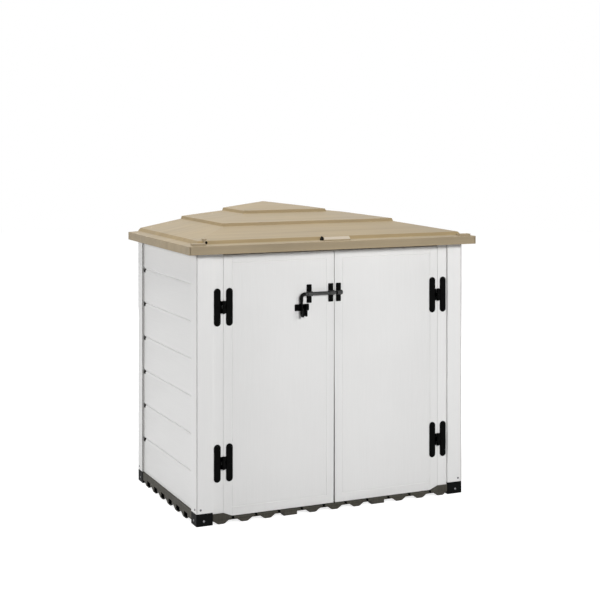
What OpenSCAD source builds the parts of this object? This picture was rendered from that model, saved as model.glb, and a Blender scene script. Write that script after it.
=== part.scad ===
// Garden storage box: a resin cupboard on a moulded floor, with double doors,
// walls of stacked boards between corner posts and a stepped roof that rises to the back.
// Millimetres. The origin is on the ground, under the middle of the whole outline.
// The front, with the doors, faces -Y. Left and right are as seen from the front.

/* [Body] */
// Width across the outer faces of the corner posts
body_w = 1150; // [1060:10:1400]
// Depth across the outer faces of the corner posts
body_d = 730; // [650:5:870]
// Height of the foot caps and of the floor's top face
floor_h = 48; // [44:1:60]

/* [Corner posts] */
// Width of a post, seen from the front
post_w = 66; // [62:1:76]
// Width of a post, seen from the side
post_d = 60; // [56:1:70]
// Wall of the hollow posts
post_wall = 4; // [3:0.5:5]
// Radius of the posts' outer edges
post_edge_r = 5; // [2:0.5:8]
// Depth of the grooves that hold boards and jambs
groove_d = 14; // [10:1:16]

/* [Wall boards] */
// Height of one board
board_h = 142; // [120:1:160]
// Thickness of a board
board_t = 20; // [16:0.5:22]
// How far the boards lie inside the posts' outer faces
board_inset = 7.5; // [6:0.5:12]
// Bevel along the outer edges of a board
board_bevel = 3; // [2:0.5:5]
// Skin and webs of the hollow boards
board_skin = 3; // [2:0.5:4]
// Thickness of the tongue between boards
tongue_t = 6; // [4:0.5:7]
// Height of the tongue between boards
tongue_h = 6; // [4:0.5:8]

// Length of the notches at the boards' ends, beside the posts
notch_len = 18; // [0:1:24]
// Height of those notches
notch_h = 14; // [6:1:16]

/* [Floor panel] */
// How far the floor's edge lies inside the posts' outer faces
floor_inset = 2; // [1:0.5:6]
// Outer walls of the hollow floor
floor_wall = 10; // [8:1:14]
// Top skin of the floor
floor_top = 5; // [4:0.5:8]
// Bottom skin of the floor
floor_skin = 3; // [2:0.5:5]
// Height of the floor's feet
pad_h = 12; // [8:1:16]
// Radius of a foot where it meets the floor
pad_r = 30; // [24:1:36]
// Radius of a foot on the ground
pad_tip_r = 13; // [6:1:20]
// Distance between feet along the front
pad_pitch_x = 95; // [88:1:110]
// Distance between feet along the side
pad_pitch_y = 93; // [84:1:100]
// Width of the two square columns of feet
block_w = 56; // [50:1:70]
// Width of the drain notches in the floor's front edge
drain_w = 9; // [6:1:16]
// Depth of the drain notches, and of the recesses over the side feet
recess_d = 26; // [16:1:30]
// Gap under the doors
sill_gap = 2; // [1:0.5:4]

/* [Doors] */
// How far jambs and doors lie behind the posts' front faces
door_inset = 7; // [5:0.5:9]
// Thickness of doors and jambs
door_t = 26; // [22:1:30]
// Width of a jamb that shows beside a post
jamb_w = 42; // [40:1:60]
// Gap round the doors
door_gap = 4; // [3:0.5:6]
// Height of the doors' lower edge over the ground
door_lift = 25; // [22:1:30]
// Height of the jambs' lower ends over the ground
jamb_lift = 40; // [34:1:46]
// Gap between the doors' tops and the roof's rim
door_head_gap = 5; // [3:0.5:10]
// Width of the frame that runs round each door
stile_w = 33.5; // [28:0.5:44]
// Skin of a door
door_skin = 5; // [4:0.5:8]
// Ribs on the back of a door
door_rib = 4; // [3:0.5:6]
// Width of the grooves on the doors' faces
line_w = 3; // [1:0.5:4]
// Depth of the grooves on the doors' faces
line_d = 1.2; // [0.5:0.1:2]
// Gap between the doors' backs and the floor and lintel
stop_gap = 4; // [2:0.5:8]
// Height of the lintel behind the doors' tops
lintel_h = 70; // [50:1:100]
// Thickness of the lintel
lintel_t = 20; // [16:1:22]

/* [Hinges] */
// Length of a hinge leaf
leaf_h = 143; // [110:1:170]
// Width of a hinge leaf
leaf_w = 27; // [20:0.5:28]
// Thickness of a hinge leaf
leaf_t = 2.5; // [2:0.1:3]
// Distance from the pin's axis to the near edge of a leaf
leaf_off = 11; // [9:0.5:13]
// Height of the hinge barrel
barrel_h = 47; // [36:1:60]
// Radius of the hinge barrel
barrel_r = 6; // [5:0.25:6.5]
// Radius of the hinge pin
pin_r = 3; // [2.5:0.1:3.5]
// Distance from a door's top to the middle of its upper hinge
hinge_drop = 199.5; // [150:0.5:260]
// Distance from a door's lower edge to the middle of its lower hinge
hinge_lift = 203.5; // [150:0.5:260]

/* [Bolt] */
// Distance from the doors' tops down to the bolt
bolt_drop = 166.5; // [120:0.5:220]
// Radius of the bolt's round bar
rod_r = 6.8; // [5.5:0.1:7.5]
// Distance from the door's face to the middle of the bolt
rod_out = 9; // [8:0.25:11]
// How far the bolt slides
bolt_throw = 10; // [8:1:11]
// Distance from the doors' meeting line to the middle of the bolt's tail
tail_x = 145; // [144:1:170]
// Radius of the bend between bolt and tail, on the bar's middle line
bend_r = 15; // [12:0.5:18]
// Distance from the bolt's axis down to the tail's lower end
tail_h = 88; // [80:1:100]
// Height of the tail's flat end
flat_h = 52; // [48:1:56]
// Thickness of the tail's flat end
ear_t = 6; // [4:0.5:7]
// Depth of the tail's flat end
ear_d = 25; // [18:0.5:27]
// Radius of the padlock holes
lock_r = 4.5; // [3:0.25:5]
// Width of a strap
strap_w = 21; // [16:0.5:26]
// Height of a strap
strap_h = 72; // [60:1:90]
// Thickness of the black plates
plate_t = 2.5; // [2:0.1:3]
// Distance from the doors' meeting line to the middle of the outer strap
outer_strap_x = 109; // [106:1:110]
// Distance from the doors' meeting line to the middle of the inner strap
inner_strap_x = 16; // [16:0.5:30]
// Distance from the right door's edge to the keeper
keeper_in = 5; // [1:0.5:8]
// Length of the keeper's sleeve
sleeve_len = 26; // [24:0.5:32]
// Wall of the keeper's sleeve
sleeve_wall = 1.4; // [1:0.1:2]
// Distance from the bolt's axis down to the middle of the padlock plate
lock_drop = 52; // [48:1:60]
// Distance from the plate's ear back to the plate's middle
lock_plate_back = 8.5; // [4:0.5:10]
// Length of the padlock plate
lock_plate_w = 60; // [56:1:70]
// Height of the padlock plate
lock_plate_h = 26; // [20:1:30]

/* [Roof] */
// How far the rim stands out past the posts, at the front and sides
rim_out = 42; // [34:1:50]
// How far the rim stands out past the posts at the back, which faces a wall
back_out = 6; // [5:1:40]
// Height of the rim
rim_h = 32; // [26:1:40]
// How far the rim hangs below the top of the walls
rim_drop = 21; // [14:1:24]
// Wall of the roof moulding
roof_wall = 4; // [3:0.5:5]
// Bevel on the rim's upper edge
rim_bevel = 3; // [1:0.5:5]
// Width of the ledge inside the rim
ledge_w = 42; // [34:1:50]
// Rise of the ledge
ledge_rise = 3; // [1:0.5:6]
// Height of the first step
step1_h = 13; // [8:1:18]
// Run of the first step
step1_run = 11; // [4:1:16]
// Rise of the first slope
slope1_rise = 34; // [26:1:45]
// Rise of the second slope
slope2_rise = 19; // [14:1:30]
// Rise of the third slope
slope3_rise = 24; // [14:1:30]
// Height of the second and third steps
step_h = 12; // [8:1:16]
// Run of the second and third steps
step_run = 4; // [1:0.5:8]
// Distance from the rim to the second step, at the sides
side_step2 = 238; // [200:1:270]
// Distance from the rim to the third step, at the sides
side_step3 = 428; // [380:1:450]
// Distance from the rim to the second step, at the front
front_step2 = 278; // [220:1:300]
// Distance from the rim to the third step, at the front
front_step3 = 533; // [440:1:560]
// Ribs under the roof
roof_rib = 4; // [3:0.5:6]

// Height of the pegs that stand in the posts
plug_h = 30; // [16:1:40]
// Width of the wedge over the doors
bar_w = 118; // [80:1:160]
// Height of the wedge's front over the rim
bar_lift = 3; // [1:0.5:6]
// Distance from the rim's side to a tab
tab_in = 18; // [10:1:30]
// Width of the tabs near the rim's front corners
tab_w = 50; // [12:1:60]
// Height of the tabs over the ledge
tab_h = 6; // [2:0.5:8]

/* [Screws] */
// Radius of a screw's shank
screw_r = 2; // [1.5:0.1:2.5]
// Radius of a screw's head
head_r = 4.2; // [3.5:0.1:5]
// Height of a screw's head
head_h = 1.6; // [1.2:0.1:2]
// Length of a screw under its head
screw_len = 14; // [10:1:18]
// Distance from a post's outer edge to its screws
post_screw_in = 17; // [12:1:24]
// Height of the post screws over the foot caps
post_screw_up = 14; // [10:1:24]
// Distance from a foot cap's outer edge to its screws
foot_screw_in = 30; // [18:1:34]
// Height of the foot screws over the ground
foot_screw_z = 19; // [12:1:26]

/* [Hidden] */
$fn = 48;
BOARDS = 7;
PAD_COLS = 11;
PAD_ROWS = 6;
BLOCK_COLS = [3, 7];
CHAMBERS = 3;
DOOR_BAYS_X = 4;
DOOR_BAYS_Z = 8;
fit = 0.5;
slide_fit = 0.3;
pin_fit = 0.05;
hole_fit = 0.1;
knuckle_gap = 0.4;
eps = 0.01;

WALL = [0.86, 0.86, 0.85];
ROOF = [0.74, 0.68, 0.58];
FLOOR = [0.30, 0.29, 0.27];
BLACK = [0.08, 0.08, 0.08];
STEEL = [0.72, 0.73, 0.74];
GREY = [0.55, 0.55, 0.55];

// Outer corner of the left front post, and the back and top of the walls
xl = -body_w / 2;
yf = (rim_out - body_d - back_out) / 2;
yb = yf + body_d;
mid_y = (yf + yb) / 2;
wall_top = floor_h + BOARDS * board_h;

// Doors: faces, edges and pin axis
face_y = yf + door_inset;
door_back_y = face_y + door_t;
jamb_x1 = xl + post_w + jamb_w;
axis_x = jamb_x1 + door_gap / 2;
axis_y = face_y - barrel_r - fit;
door_x0 = jamb_x1 + door_gap;
door_x1 = -door_gap / 2;
rim_z0 = wall_top - rim_drop;
door_top = rim_z0 - door_head_gap;
stop_y = door_back_y + stop_gap;
upper_hinge_z = door_top - hinge_drop;
lower_hinge_z = door_lift + hinge_lift;

// Posts: hollow core, shared with the plugs of the caps and the roof
core_w = post_w - groove_d - 2 * post_wall;
core_d = post_d - groove_d - 2 * post_wall;
plug_w = core_w - 2 * fit;
plug_d = core_d - 2 * fit;
jamb_tongue_t = door_t - 10;
notch_depth = board_t - tongue_t - 4 * fit;

// Bolt: axis and the ends of its pieces
rod_y = face_y - rod_out;
rod_z = door_top - bolt_drop;
tail_end_x = -tail_x + bend_r;
spigot_len = 6;
spigot_r = rod_r - 2.8;
rod_tip_x = 3;
tip_bevel = 1.5;
ear_top = tail_h - flat_h;
ear_back = face_y - leaf_t - 1 - rod_y;
lug_t = 5;
lug_x = -tail_x + ear_t / 2 + bolt_throw + fit;
lock_z = rod_z - tail_h + 16;
lock_y = face_y - plate_t - 14;
lock_plate_z = rod_z - lock_drop;
lock_plate_x = lug_x - lock_plate_back;
keeper_x = door_gap / 2 + keeper_in + strap_w / 2;
backing_rim = 10;

// Roof: outline and the heights of its steps
roof_hw = body_w / 2 + rim_out;
roof_y0 = yf - rim_out;
roof_y1 = yb + back_out;
rim_z1 = rim_z0 + rim_h;
ledge_z = rim_z1 + ledge_rise;
step1_z = ledge_z + step1_h;
slope1_z = step1_z + slope1_rise;
step2_z = slope1_z + step_h;
slope2_z = step2_z + slope2_rise;
step3_z = slope2_z + step_h;
apex_z = step3_z + slope3_rise;
roof_bays_x = 4;
roof_bays_y = 3;

// Rectangle from the corner, with rounded corners
module rounded(size, r) {
    translate([r, 0])
        square([size[0] - 2 * r, size[1]]);
    translate([0, r])
        square([size[0], size[1] - 2 * r]);
    for (x = [r, size[0] - r])
        for (y = [r, size[1] - r])
            translate([x, y])
                circle(r = r);
}

// Puts a piece made for the left on the right as well as where it is
module on_side(right) {
    if (right)
        mirror([1, 0, 0])
            children();
    else
        children();
}

// Puts a piece made for the front at the back
module on_end(back) {
    if (back)
        translate([0, 2 * mid_y, 0])
            mirror([0, 1, 0])
                children();
    else
        children();
}

// A bar along X or Y from a drawing of its end, whose first axis runs outwards to inwards
module along_y(len) {
    translate([0, len / 2, 0])
        rotate([90, 0, 0])
            linear_extrude(len)
                children();
}

// Screw with its head's underside at the origin, driven in along +Y
module screw() {
    rotate([-90, 0, 0]) {
        cylinder(r = screw_r, h = screw_len);
        translate([0, 0, -0.6 * head_h])
            cylinder(r = head_r, h = 0.6 * head_h);
        translate([0, 0, -head_h])
            cylinder(r1 = 0.7 * head_r, r2 = head_r, h = 0.4 * head_h);
    }
}

// Hole for a screw driven in along +Y from the origin
module screw_hole() {
    translate([0, -1, 0])
        rotate([-90, 0, 0])
            cylinder(r = screw_r + hole_fit, h = screw_len + 1.5);
}

// Where the screws of one post or foot cap enter its front and its side
module at_post_screws(z, inset) {
    translate([xl + inset, yf, z])
        children();
    translate([xl, yf + inset, z])
        rotate([0, 0, -90])
            children();
}

// FLOOR
floor_x0 = xl + floor_inset;
floor_y0 = yf + floor_inset;
floor_y1 = yb - floor_inset;

function pad_x(i) = (i - (PAD_COLS - 1) / 2) * pad_pitch_x;
function pad_y(j) = mid_y + (j - (PAD_ROWS - 1) / 2) * pad_pitch_y;
function is_block(i) = len(search(i, BLOCK_COLS)) > 0;

module pad_cone() {
    cylinder(r1 = pad_tip_r, r2 = pad_r, h = pad_h);
}

module floor_outline(edge) {
    difference() {
        translate([floor_x0 + edge, floor_y0 + edge])
            square([-2 * (floor_x0 + edge), floor_y1 - floor_y0 - 2 * edge]);
        for (sx = [-1, 1])
            for (sy = [-1, 1])
                translate([sx * body_w / 2, mid_y + sy * body_d / 2])
                    square([2 * (post_w + fit + edge), 2 * (post_d + fit + edge)], center = true);
    }
}

// Feet: half cones along the edges, four square blocks, and whole cones in the middle
module floor_pads() {
    for (i = [0:PAD_COLS - 1])
        for (s = [0, 1])
            translate([pad_x(i), s == 0 ? floor_y0 : floor_y1, 0])
                if (is_block(i))
                    translate([-block_w / 2, s == 0 ? 0 : -pad_r, 0])
                        cube([block_w, pad_r, pad_h]);
                else
                    pad_cone();
    for (j = [0:PAD_ROWS - 1])
        for (s = [-1, 1])
            translate([s * floor_x0, pad_y(j), 0])
                pad_cone();
    for (i = [1:2:PAD_COLS - 2])
        for (j = [0.5:2:PAD_ROWS - 1])
            translate([pad_x(i), pad_y(j), 0])
                pad_cone();
}

// Drain notches between the front feet, and square recesses over the feet at the sides
module floor_recesses() {
    for (i = [0:PAD_COLS - 2])
        translate([pad_x(i + 0.5) - drain_w / 2, floor_y0 - 1, pad_h - 1])
            cube([drain_w, recess_d + 1, door_lift - pad_h + 1]);
    for (s = [-1, 1])
        for (j = [0:PAD_ROWS - 1])
            translate([s * floor_x0, pad_y(j) - 10, pad_h + 4])
                cube([2 * recess_d, 30, 13], center = true);
}

// Room for the doors and jambs over the floor's front edge
module floor_front_step() {
    sill_z = door_lift - sill_gap;
    side_x = xl + post_w - 1;
    slope_x0 = jamb_x1 + door_gap / 2;
    slope_x1 = door_x0 + stile_w;
    translate([0, stop_y, 0])
        rotate([90, 0, 0])
            linear_extrude(stop_y - floor_y0 + 1)
                polygon([
                    [side_x, jamb_lift], [slope_x0, jamb_lift], [slope_x1, sill_z],
                    [-slope_x1, sill_z], [-slope_x0, jamb_lift], [-side_x, jamb_lift],
                    [-side_x, floor_h + 1], [side_x, floor_h + 1]
                ]);
}

// Closed hollow inside the floor
module floor_void() {
    front = stop_y + floor_wall - floor_y0;
    translate([0, 0, pad_h + floor_skin])
        linear_extrude(floor_h - pad_h - floor_skin - floor_top)
            difference() {
                floor_outline(recess_d + floor_wall);
                translate([floor_x0, floor_y0])
                    square([-2 * floor_x0, front]);
            }
}

// Ridges that stand in the grooves of the lowest boards
module floor_ridges() {
    mid = board_inset + board_t / 2;
    side_len = body_d - 2 * post_d - 2;
    back_len = body_w - 2 * post_w - 2;
    for (s = [-1, 1])
        translate([s * (xl + mid), mid_y, floor_h])
            cube([tongue_t, side_len, 2 * tongue_h], center = true);
    translate([0, yb - mid, floor_h])
        cube([back_len, tongue_t, 2 * tongue_h], center = true);
}

module floor_panel() {
    color(FLOOR)
        difference() {
            union() {
                translate([0, 0, pad_h])
                    linear_extrude(floor_h - pad_h)
                        floor_outline(0);
                intersection() {
                    floor_pads();
                    linear_extrude(pad_h)
                        floor_outline(0);
                }
                floor_ridges();
            }
            floor_recesses();
            floor_front_step();
            floor_void();
        }
}

// FEET AND POSTS
module foot_cap(right, back) {
    color(BLACK)
        on_side(right)
            on_end(back)
                difference() {
                    union() {
                        translate([xl, yf, 0])
                            linear_extrude(floor_h)
                                rounded([post_w, post_d], post_edge_r);
                        translate([xl + post_wall + fit, yf + post_wall + fit, floor_h - eps])
                            cube([plug_w, plug_d, 40]);
                    }
                    translate([xl + 18, yf + 18, -1])
                        cube([post_w - 36, post_d - 36, floor_h - 11]);
                    at_post_screws(foot_screw_z, foot_screw_in)
                        screw_hole();
                    at_post_screws(floor_h + post_screw_up, post_screw_in)
                        screw_hole();
                }
}

module post(right, back) {
    inner_groove_t = back ? board_t : jamb_tongue_t;
    inner_groove_y = back ? board_inset : door_inset + (door_t - jamb_tongue_t) / 2;
    color(WALL)
        on_side(right)
            on_end(back)
                difference() {
                    translate([xl, yf, floor_h])
                        linear_extrude(wall_top - floor_h)
                            difference() {
                                rounded([post_w, post_d], post_edge_r);
                                translate([post_wall, post_wall])
                                    square([core_w, core_d]);
                                translate([board_inset - fit, post_d - groove_d])
                                    square([board_t + 2 * fit, groove_d + 1]);
                                translate([post_w - groove_d, inner_groove_y - fit])
                                    square([groove_d + 1, inner_groove_t + 2 * fit]);
                            }
                    at_post_screws(floor_h + post_screw_up, post_screw_in)
                        screw_hole();
                    if (!back)
                        lintel_seat();
                }
}

// Pocket in the front post for the lintel's end
module lintel_seat() {
    translate([xl + post_w - 10, stop_y - fit, wall_top - lintel_h - fit])
        cube([11, lintel_t + 2 * fit, lintel_h + 1]);
}

// WALLS
// End of a board: first axis from its outer face inwards, second axis up
module board_end(top_board) {
    cell_h = (board_h - tongue_h - 3 * board_skin - (CHAMBERS - 1) * board_skin) / CHAMBERS;
    difference() {
        union() {
            polygon([
                [board_bevel, 0], [board_t, 0], [board_t, board_h], [board_bevel, board_h],
                [0, board_h - board_bevel], [0, board_bevel]
            ]);
            if (!top_board)
                translate([(board_t - tongue_t) / 2, board_h - eps])
                    square([tongue_t, tongue_h]);
        }
        translate([(board_t - tongue_t) / 2 - fit, -1])
            square([tongue_t + 2 * fit, tongue_h + 1 + fit]);
        for (i = [0:CHAMBERS - 1])
            translate([board_skin, tongue_h + 2 * board_skin + i * (cell_h + board_skin)])
                square([board_t - 2 * board_skin, cell_h - board_skin]);
    }
}

function board_z(n) = floor_h + (n - 1) * board_h;

// A board of the wall whose posts stand open_len apart: first axis inwards, second along it
module board(open_len, n) {
    len = open_len + 2 * groove_d - 4 * fit;
    difference() {
        along_y(len)
            board_end(n == BOARDS);
        for (s = [-1, 1])
            for (z = [0, board_h])
                if (z > 0 || n > 1)
                    if (z == 0 || n < BOARDS)
                        translate([0, s * (open_len - notch_len) / 2, z])
                            cube([notch_depth, notch_len, notch_h], center = true);
    }
}

module side_board(right, n) {
    color(WALL)
        on_side(right)
            translate([xl + board_inset, mid_y, board_z(n)])
                board(body_d - 2 * post_d, n);
}

module back_board(n) {
    color(WALL)
        translate([0, yb - board_inset, board_z(n)])
            rotate([0, 0, -90])
                board(body_w - 2 * post_w, n);
}

// FRONT FRAME
module hinge_screw_places() {
    for (z = [-0.41 * leaf_h, 0, 0.41 * leaf_h])
        translate([leaf_off + leaf_w / 2, 0, z])
            children();
}

module at_hinges() {
    for (z = [upper_hinge_z, lower_hinge_z])
        translate([axis_x, face_y, z])
            children();
}

module jamb(right) {
    color(WALL)
        on_side(right)
            difference() {
                union() {
                    translate([xl + post_w, face_y, jamb_lift])
                        cube([jamb_w, door_t, wall_top - jamb_lift]);
                    translate([xl + post_w - groove_d + 2 * fit, face_y + (door_t - jamb_tongue_t) / 2, floor_h])
                        cube([groove_d, jamb_tongue_t, wall_top - floor_h]);
                }
                at_hinges()
                    mirror([1, 0, 0])
                        hinge_screw_places()
                            screw_hole();
            }
}

module lintel() {
    half = -xl - post_w + 9;
    color(WALL)
        translate([-half, stop_y, wall_top - lintel_h])
            difference() {
                cube([2 * half, lintel_t, lintel_h]);
                translate([-1, board_skin, board_skin])
                    cube([2 * half + 2, lintel_t - 2 * board_skin, lintel_h - 2 * board_skin]);
            }
}

// DOORS
// Groove with sloping sides, along X from the origin
module face_line(len) {
    rotate([90, 0, 90])
        linear_extrude(len)
            polygon([[-1, -line_w / 2], [0, -line_w / 2], [line_d, 0], [0, line_w / 2], [-1, line_w / 2]]);
}

module door_lines() {
    field_x0 = door_x0 + stile_w;
    field_x1 = door_x1 - stile_w;
    field_z0 = door_lift + stile_w;
    field_z1 = door_top - stile_w;
    translate([field_x0, face_y, door_lift - 1])
        rotate([0, -90, 0])
            face_line(door_top - door_lift + 2);
    translate([field_x1, face_y, field_z0])
        rotate([0, -90, 0])
            face_line(field_z1 - field_z0);
    for (z = [field_z0, field_z1])
        translate([field_x0, face_y, z])
            face_line(field_x1 - field_x0);
}

// Hollows in the door's back, with ribs left between them
module door_bays() {
    x0 = door_x0 + stile_w;
    x1 = door_x1 - stile_w;
    z0 = door_lift + stile_w;
    z1 = door_top - stile_w;
    bay_w = (x1 - x0 + door_rib) / DOOR_BAYS_X - door_rib;
    bay_h = (z1 - z0 + door_rib) / DOOR_BAYS_Z - door_rib;
    for (i = [0:DOOR_BAYS_X - 1])
        for (j = [0:DOOR_BAYS_Z - 1])
            translate([x0 + i * (bay_w + door_rib), face_y + door_skin, z0 + j * (bay_h + door_rib)])
                cube([bay_w, door_t, bay_h]);
}

module door_panel(right) {
    corner_rise = jamb_lift - door_lift;
    difference() {
        translate([door_x0, face_y, door_lift])
            cube([door_x1 - door_x0, door_t, door_top - door_lift]);
        translate([door_x0, face_y - 1, door_lift])
            rotate([-90, 0, 0])
                linear_extrude(door_t + 2)
                    polygon([[-1, 1], [stile_w, 1], [stile_w, 0], [0, -corner_rise], [-1, -corner_rise]]);
        door_lines();
        door_bays();
        at_hinges()
            hinge_screw_places()
                screw_hole();
        if (right)
            mirror([1, 0, 0])
                keeper_screw_places()
                    screw_hole();
        else
            latch_screw_places()
                screw_hole();
    }
}

module left_door_panel() {
    color(WALL)
        difference() {
            union() {
                door_panel(false);
                latch_backing();
            }
            latch_screw_places()
                screw_hole();
        }
}

module right_door_panel() {
    color(WALL)
        on_side(true)
            door_panel(true);
}

// Solid block behind the straps and the padlock plate
module latch_backing() {
    x0 = lock_plate_x - lock_plate_w / 2 - backing_rim;
    z0 = lock_plate_z - lock_plate_h / 2 - backing_rim;
    z1 = rod_z + strap_h / 2 + backing_rim;
    translate([x0, face_y + line_d + 0.5, z0])
        cube([-x0 - stile_w, door_t - line_d - 0.5, z1 - z0]);
}

// HINGES
module knuckle(z0, z1) {
    reach = leaf_off + 4;
    difference() {
        union() {
            translate([0, -barrel_r - fit, z0])
                cylinder(r = barrel_r, h = z1 - z0);
            translate([2, -leaf_t, z0])
                cube([reach, leaf_t, z1 - z0]);
        }
        translate([0, -barrel_r - fit, z0 - 1])
            cylinder(r = pin_r + pin_fit, h = z1 - z0 + 2);
    }
}

// One leaf to the right of the pin, with its barrel parts; the origin is on the door's face
module leaf(parts) {
    difference() {
        translate([leaf_off, 0, -leaf_h / 2])
            rotate([90, 0, 0])
                linear_extrude(leaf_t)
                    union() {
                        translate([0, leaf_w / 2])
                            square([leaf_w, leaf_h - leaf_w]);
                        for (z = [leaf_w / 2, leaf_h - leaf_w / 2])
                            translate([leaf_w / 2, z])
                                circle(r = leaf_w / 2);
                    }
        translate([0, -leaf_t - 1, 0])
            hinge_screw_places()
                rotate([-90, 0, 0])
                    cylinder(r = screw_r + hole_fit, h = leaf_t + 2);
    }
    translate([barrel_r - 0.3, -leaf_t, -barrel_h / 2])
        cube([leaf_off + 4 - barrel_r, leaf_t, barrel_h]);
    for (p = parts)
        knuckle(p[0], p[1]);
}

third = barrel_h / 3;
outer_parts = [[-barrel_h / 2, -third / 2 - knuckle_gap], [third / 2 + knuckle_gap, barrel_h / 2]];
inner_parts = [[-third / 2, third / 2]];

module jamb_leaf(right, z) {
    color(BLACK)
        on_side(right)
            translate([axis_x, face_y, z])
                mirror([1, 0, 0])
                    leaf(outer_parts);
}

module door_leaf(right, z) {
    color(BLACK)
        on_side(right)
            translate([axis_x, face_y, z])
                leaf(inner_parts);
}

module hinge_pin() {
    translate([0, -barrel_r - fit, -barrel_h / 2 - 1]) {
        cylinder(r = pin_r, h = barrel_h + 2);
        cylinder(r = pin_r + 1.6, h = 1);
        translate([0, 0, barrel_h + 1])
            cylinder(r = pin_r + 1.6, h = 1);
    }
}

module hinge_pins() {
    color(BLACK)
        for (right = [false, true])
            on_side(right)
                at_hinges()
                    hinge_pin();
}

module jamb_screws() {
    color(BLACK)
        for (right = [false, true])
            on_side(right)
                at_hinges()
                    mirror([1, 0, 0])
                        translate([0, -leaf_t, 0])
                            hinge_screw_places()
                                screw();
}

module left_door_screws() {
    color(BLACK) {
        at_hinges()
            translate([0, -leaf_t, 0])
                hinge_screw_places()
                    screw();
        translate([0, -plate_t, 0])
            latch_screw_places()
                screw();
    }
}

module right_door_screws() {
    color(BLACK) {
        on_side(true)
            at_hinges()
                translate([0, -leaf_t, 0])
                    hinge_screw_places()
                        screw();
        translate([0, -plate_t, 0])
            keeper_screw_places()
                screw();
    }
}

// BOLT
strap_screw_z = strap_h / 2 - 10;
lock_screw_x = lock_plate_w / 2 - 7;

module strap_screw_places(x) {
    for (z = [-strap_screw_z, strap_screw_z])
        translate([x, face_y, rod_z + z])
            children();
}

module latch_screw_places() {
    strap_screw_places(-outer_strap_x)
        children();
    strap_screw_places(-inner_strap_x)
        children();
    for (x = [-lock_screw_x, lock_screw_x])
        translate([lock_plate_x + x, face_y, lock_plate_z])
            children();
}

module keeper_screw_places() {
    strap_screw_places(keeper_x)
        children();
}

// Plate on the door's face with its arch over the bar; the origin is on the bar's axis
module strap(bore_r) {
    arch_r = bore_r + plate_t;
    difference() {
        union() {
            translate([-strap_w / 2, rod_out, -strap_h / 2])
                rotate([90, 0, 0])
                    linear_extrude(plate_t)
                        rounded([strap_w, strap_h], 3);
            translate([-strap_w / 2, 0, 0])
                rotate([0, 90, 0])
                    cylinder(r = arch_r, h = strap_w);
            translate([-strap_w / 2, 0, -arch_r])
                cube([strap_w, rod_out, 2 * arch_r]);
        }
        translate([-strap_w, rod_out, -strap_h])
            cube([2 * strap_w, 4 * rod_r, 2 * strap_h]);
        translate([-strap_w / 2 - 1, 0, 0])
            rotate([0, 90, 0])
                cylinder(r = bore_r, h = strap_w + 2);
        for (z = [-strap_screw_z, strap_screw_z])
            translate([0, rod_out - plate_t - 1, z])
                rotate([-90, 0, 0])
                    cylinder(r = screw_r + hole_fit, h = plate_t + 2);
    }
}

module outer_strap() {
    color(BLACK)
        translate([-outer_strap_x, rod_y, rod_z])
            strap(rod_r + slide_fit);
}

module inner_strap() {
    color(BLACK)
        translate([-inner_strap_x, rod_y, rod_z])
            strap(rod_r + slide_fit);
}

// Strap on the other door, with a blind sleeve that takes the bolt's tip
module keeper() {
    color(BLACK)
        translate([keeper_x, rod_y, rod_z]) {
            strap(rod_r + slide_fit);
            difference() {
                translate([strap_w / 2 - 1, 0, 0])
                    rotate([0, 90, 0])
                        cylinder(r = rod_r + slide_fit + sleeve_wall, h = sleeve_len - strap_w + 1);
                translate([strap_w / 2 - 2, 0, 0])
                    rotate([0, 90, 0])
                        cylinder(r = rod_r + slide_fit, h = sleeve_len - strap_w);
            }
        }
}

// Plate on the door with an ear that stands out beside the bolt's tail
module padlock_plate() {
    ear_h = lock_plate_h / 2 + (lock_plate_z - lock_z) + 14;
    color(BLACK)
        difference() {
            union() {
                translate([lock_plate_x - lock_plate_w / 2, face_y, lock_plate_z - lock_plate_h / 2])
                    rotate([90, 0, 0])
                        linear_extrude(plate_t)
                            rounded([lock_plate_w, lock_plate_h], 3);
                translate([lug_x, face_y - ear_d, lock_plate_z + lock_plate_h / 2 - ear_h])
                    rotate([90, 0, 90])
                        linear_extrude(lug_t)
                            rounded([ear_d, ear_h], 5);
            }
            translate([lug_x - 1, lock_y, lock_z])
                rotate([0, 90, 0])
                    cylinder(r = lock_r, h = lug_t + 2);
            for (x = [-lock_screw_x, lock_screw_x])
                translate([lock_plate_x + x, face_y - plate_t - 1, lock_plate_z])
                    rotate([-90, 0, 0])
                        cylinder(r = screw_r + hole_fit, h = plate_t + 2);
        }
}

module bolt_rod() {
    start = tail_end_x + 0.2;
    color(BLACK)
        translate([0, rod_y, rod_z])
            rotate([0, 90, 0]) {
                translate([0, 0, start])
                    cylinder(r = rod_r, h = rod_tip_x - tip_bevel - start);
                translate([0, 0, rod_tip_x - tip_bevel])
                    cylinder(r1 = rod_r, r2 = rod_r - tip_bevel, h = tip_bevel);
                translate([0, 0, start - spigot_len + 0.5])
                    cylinder(r = spigot_r, h = spigot_len);
            }
}

// Bent end of the bolt, which hangs down and ends in a flat ear for the padlock
module bolt_tail() {
    color(BLACK)
        translate([-tail_x, rod_y, rod_z]) {
            difference() {
                translate([bend_r, 0, -bend_r])
                    rotate([90, 0, 0])
                        rotate([0, 0, 90])
                            rotate_extrude(angle = 90)
                                translate([bend_r, 0])
                                    circle(r = rod_r);
                translate([bend_r - spigot_len, 0, 0])
                    rotate([0, 90, 0])
                        cylinder(r = spigot_r + pin_fit, h = spigot_len + 1);
            }
            translate([0, 0, -ear_top])
                cylinder(r = rod_r, h = ear_top - bend_r);
            tail_ear();
        }
}

module tail_ear() {
    front = ear_back - ear_d;
    difference() {
        translate([-ear_t / 2, front, -tail_h])
            rotate([90, 0, 90])
                linear_extrude(ear_t)
                    rounded([ear_d, flat_h + 8], 5);
        translate([-ear_t / 2 - 1, lock_y - rod_y, lock_z - rod_z])
            rotate([0, 90, 0])
                cylinder(r = lock_r, h = ear_t + 2);
    }
}

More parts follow.
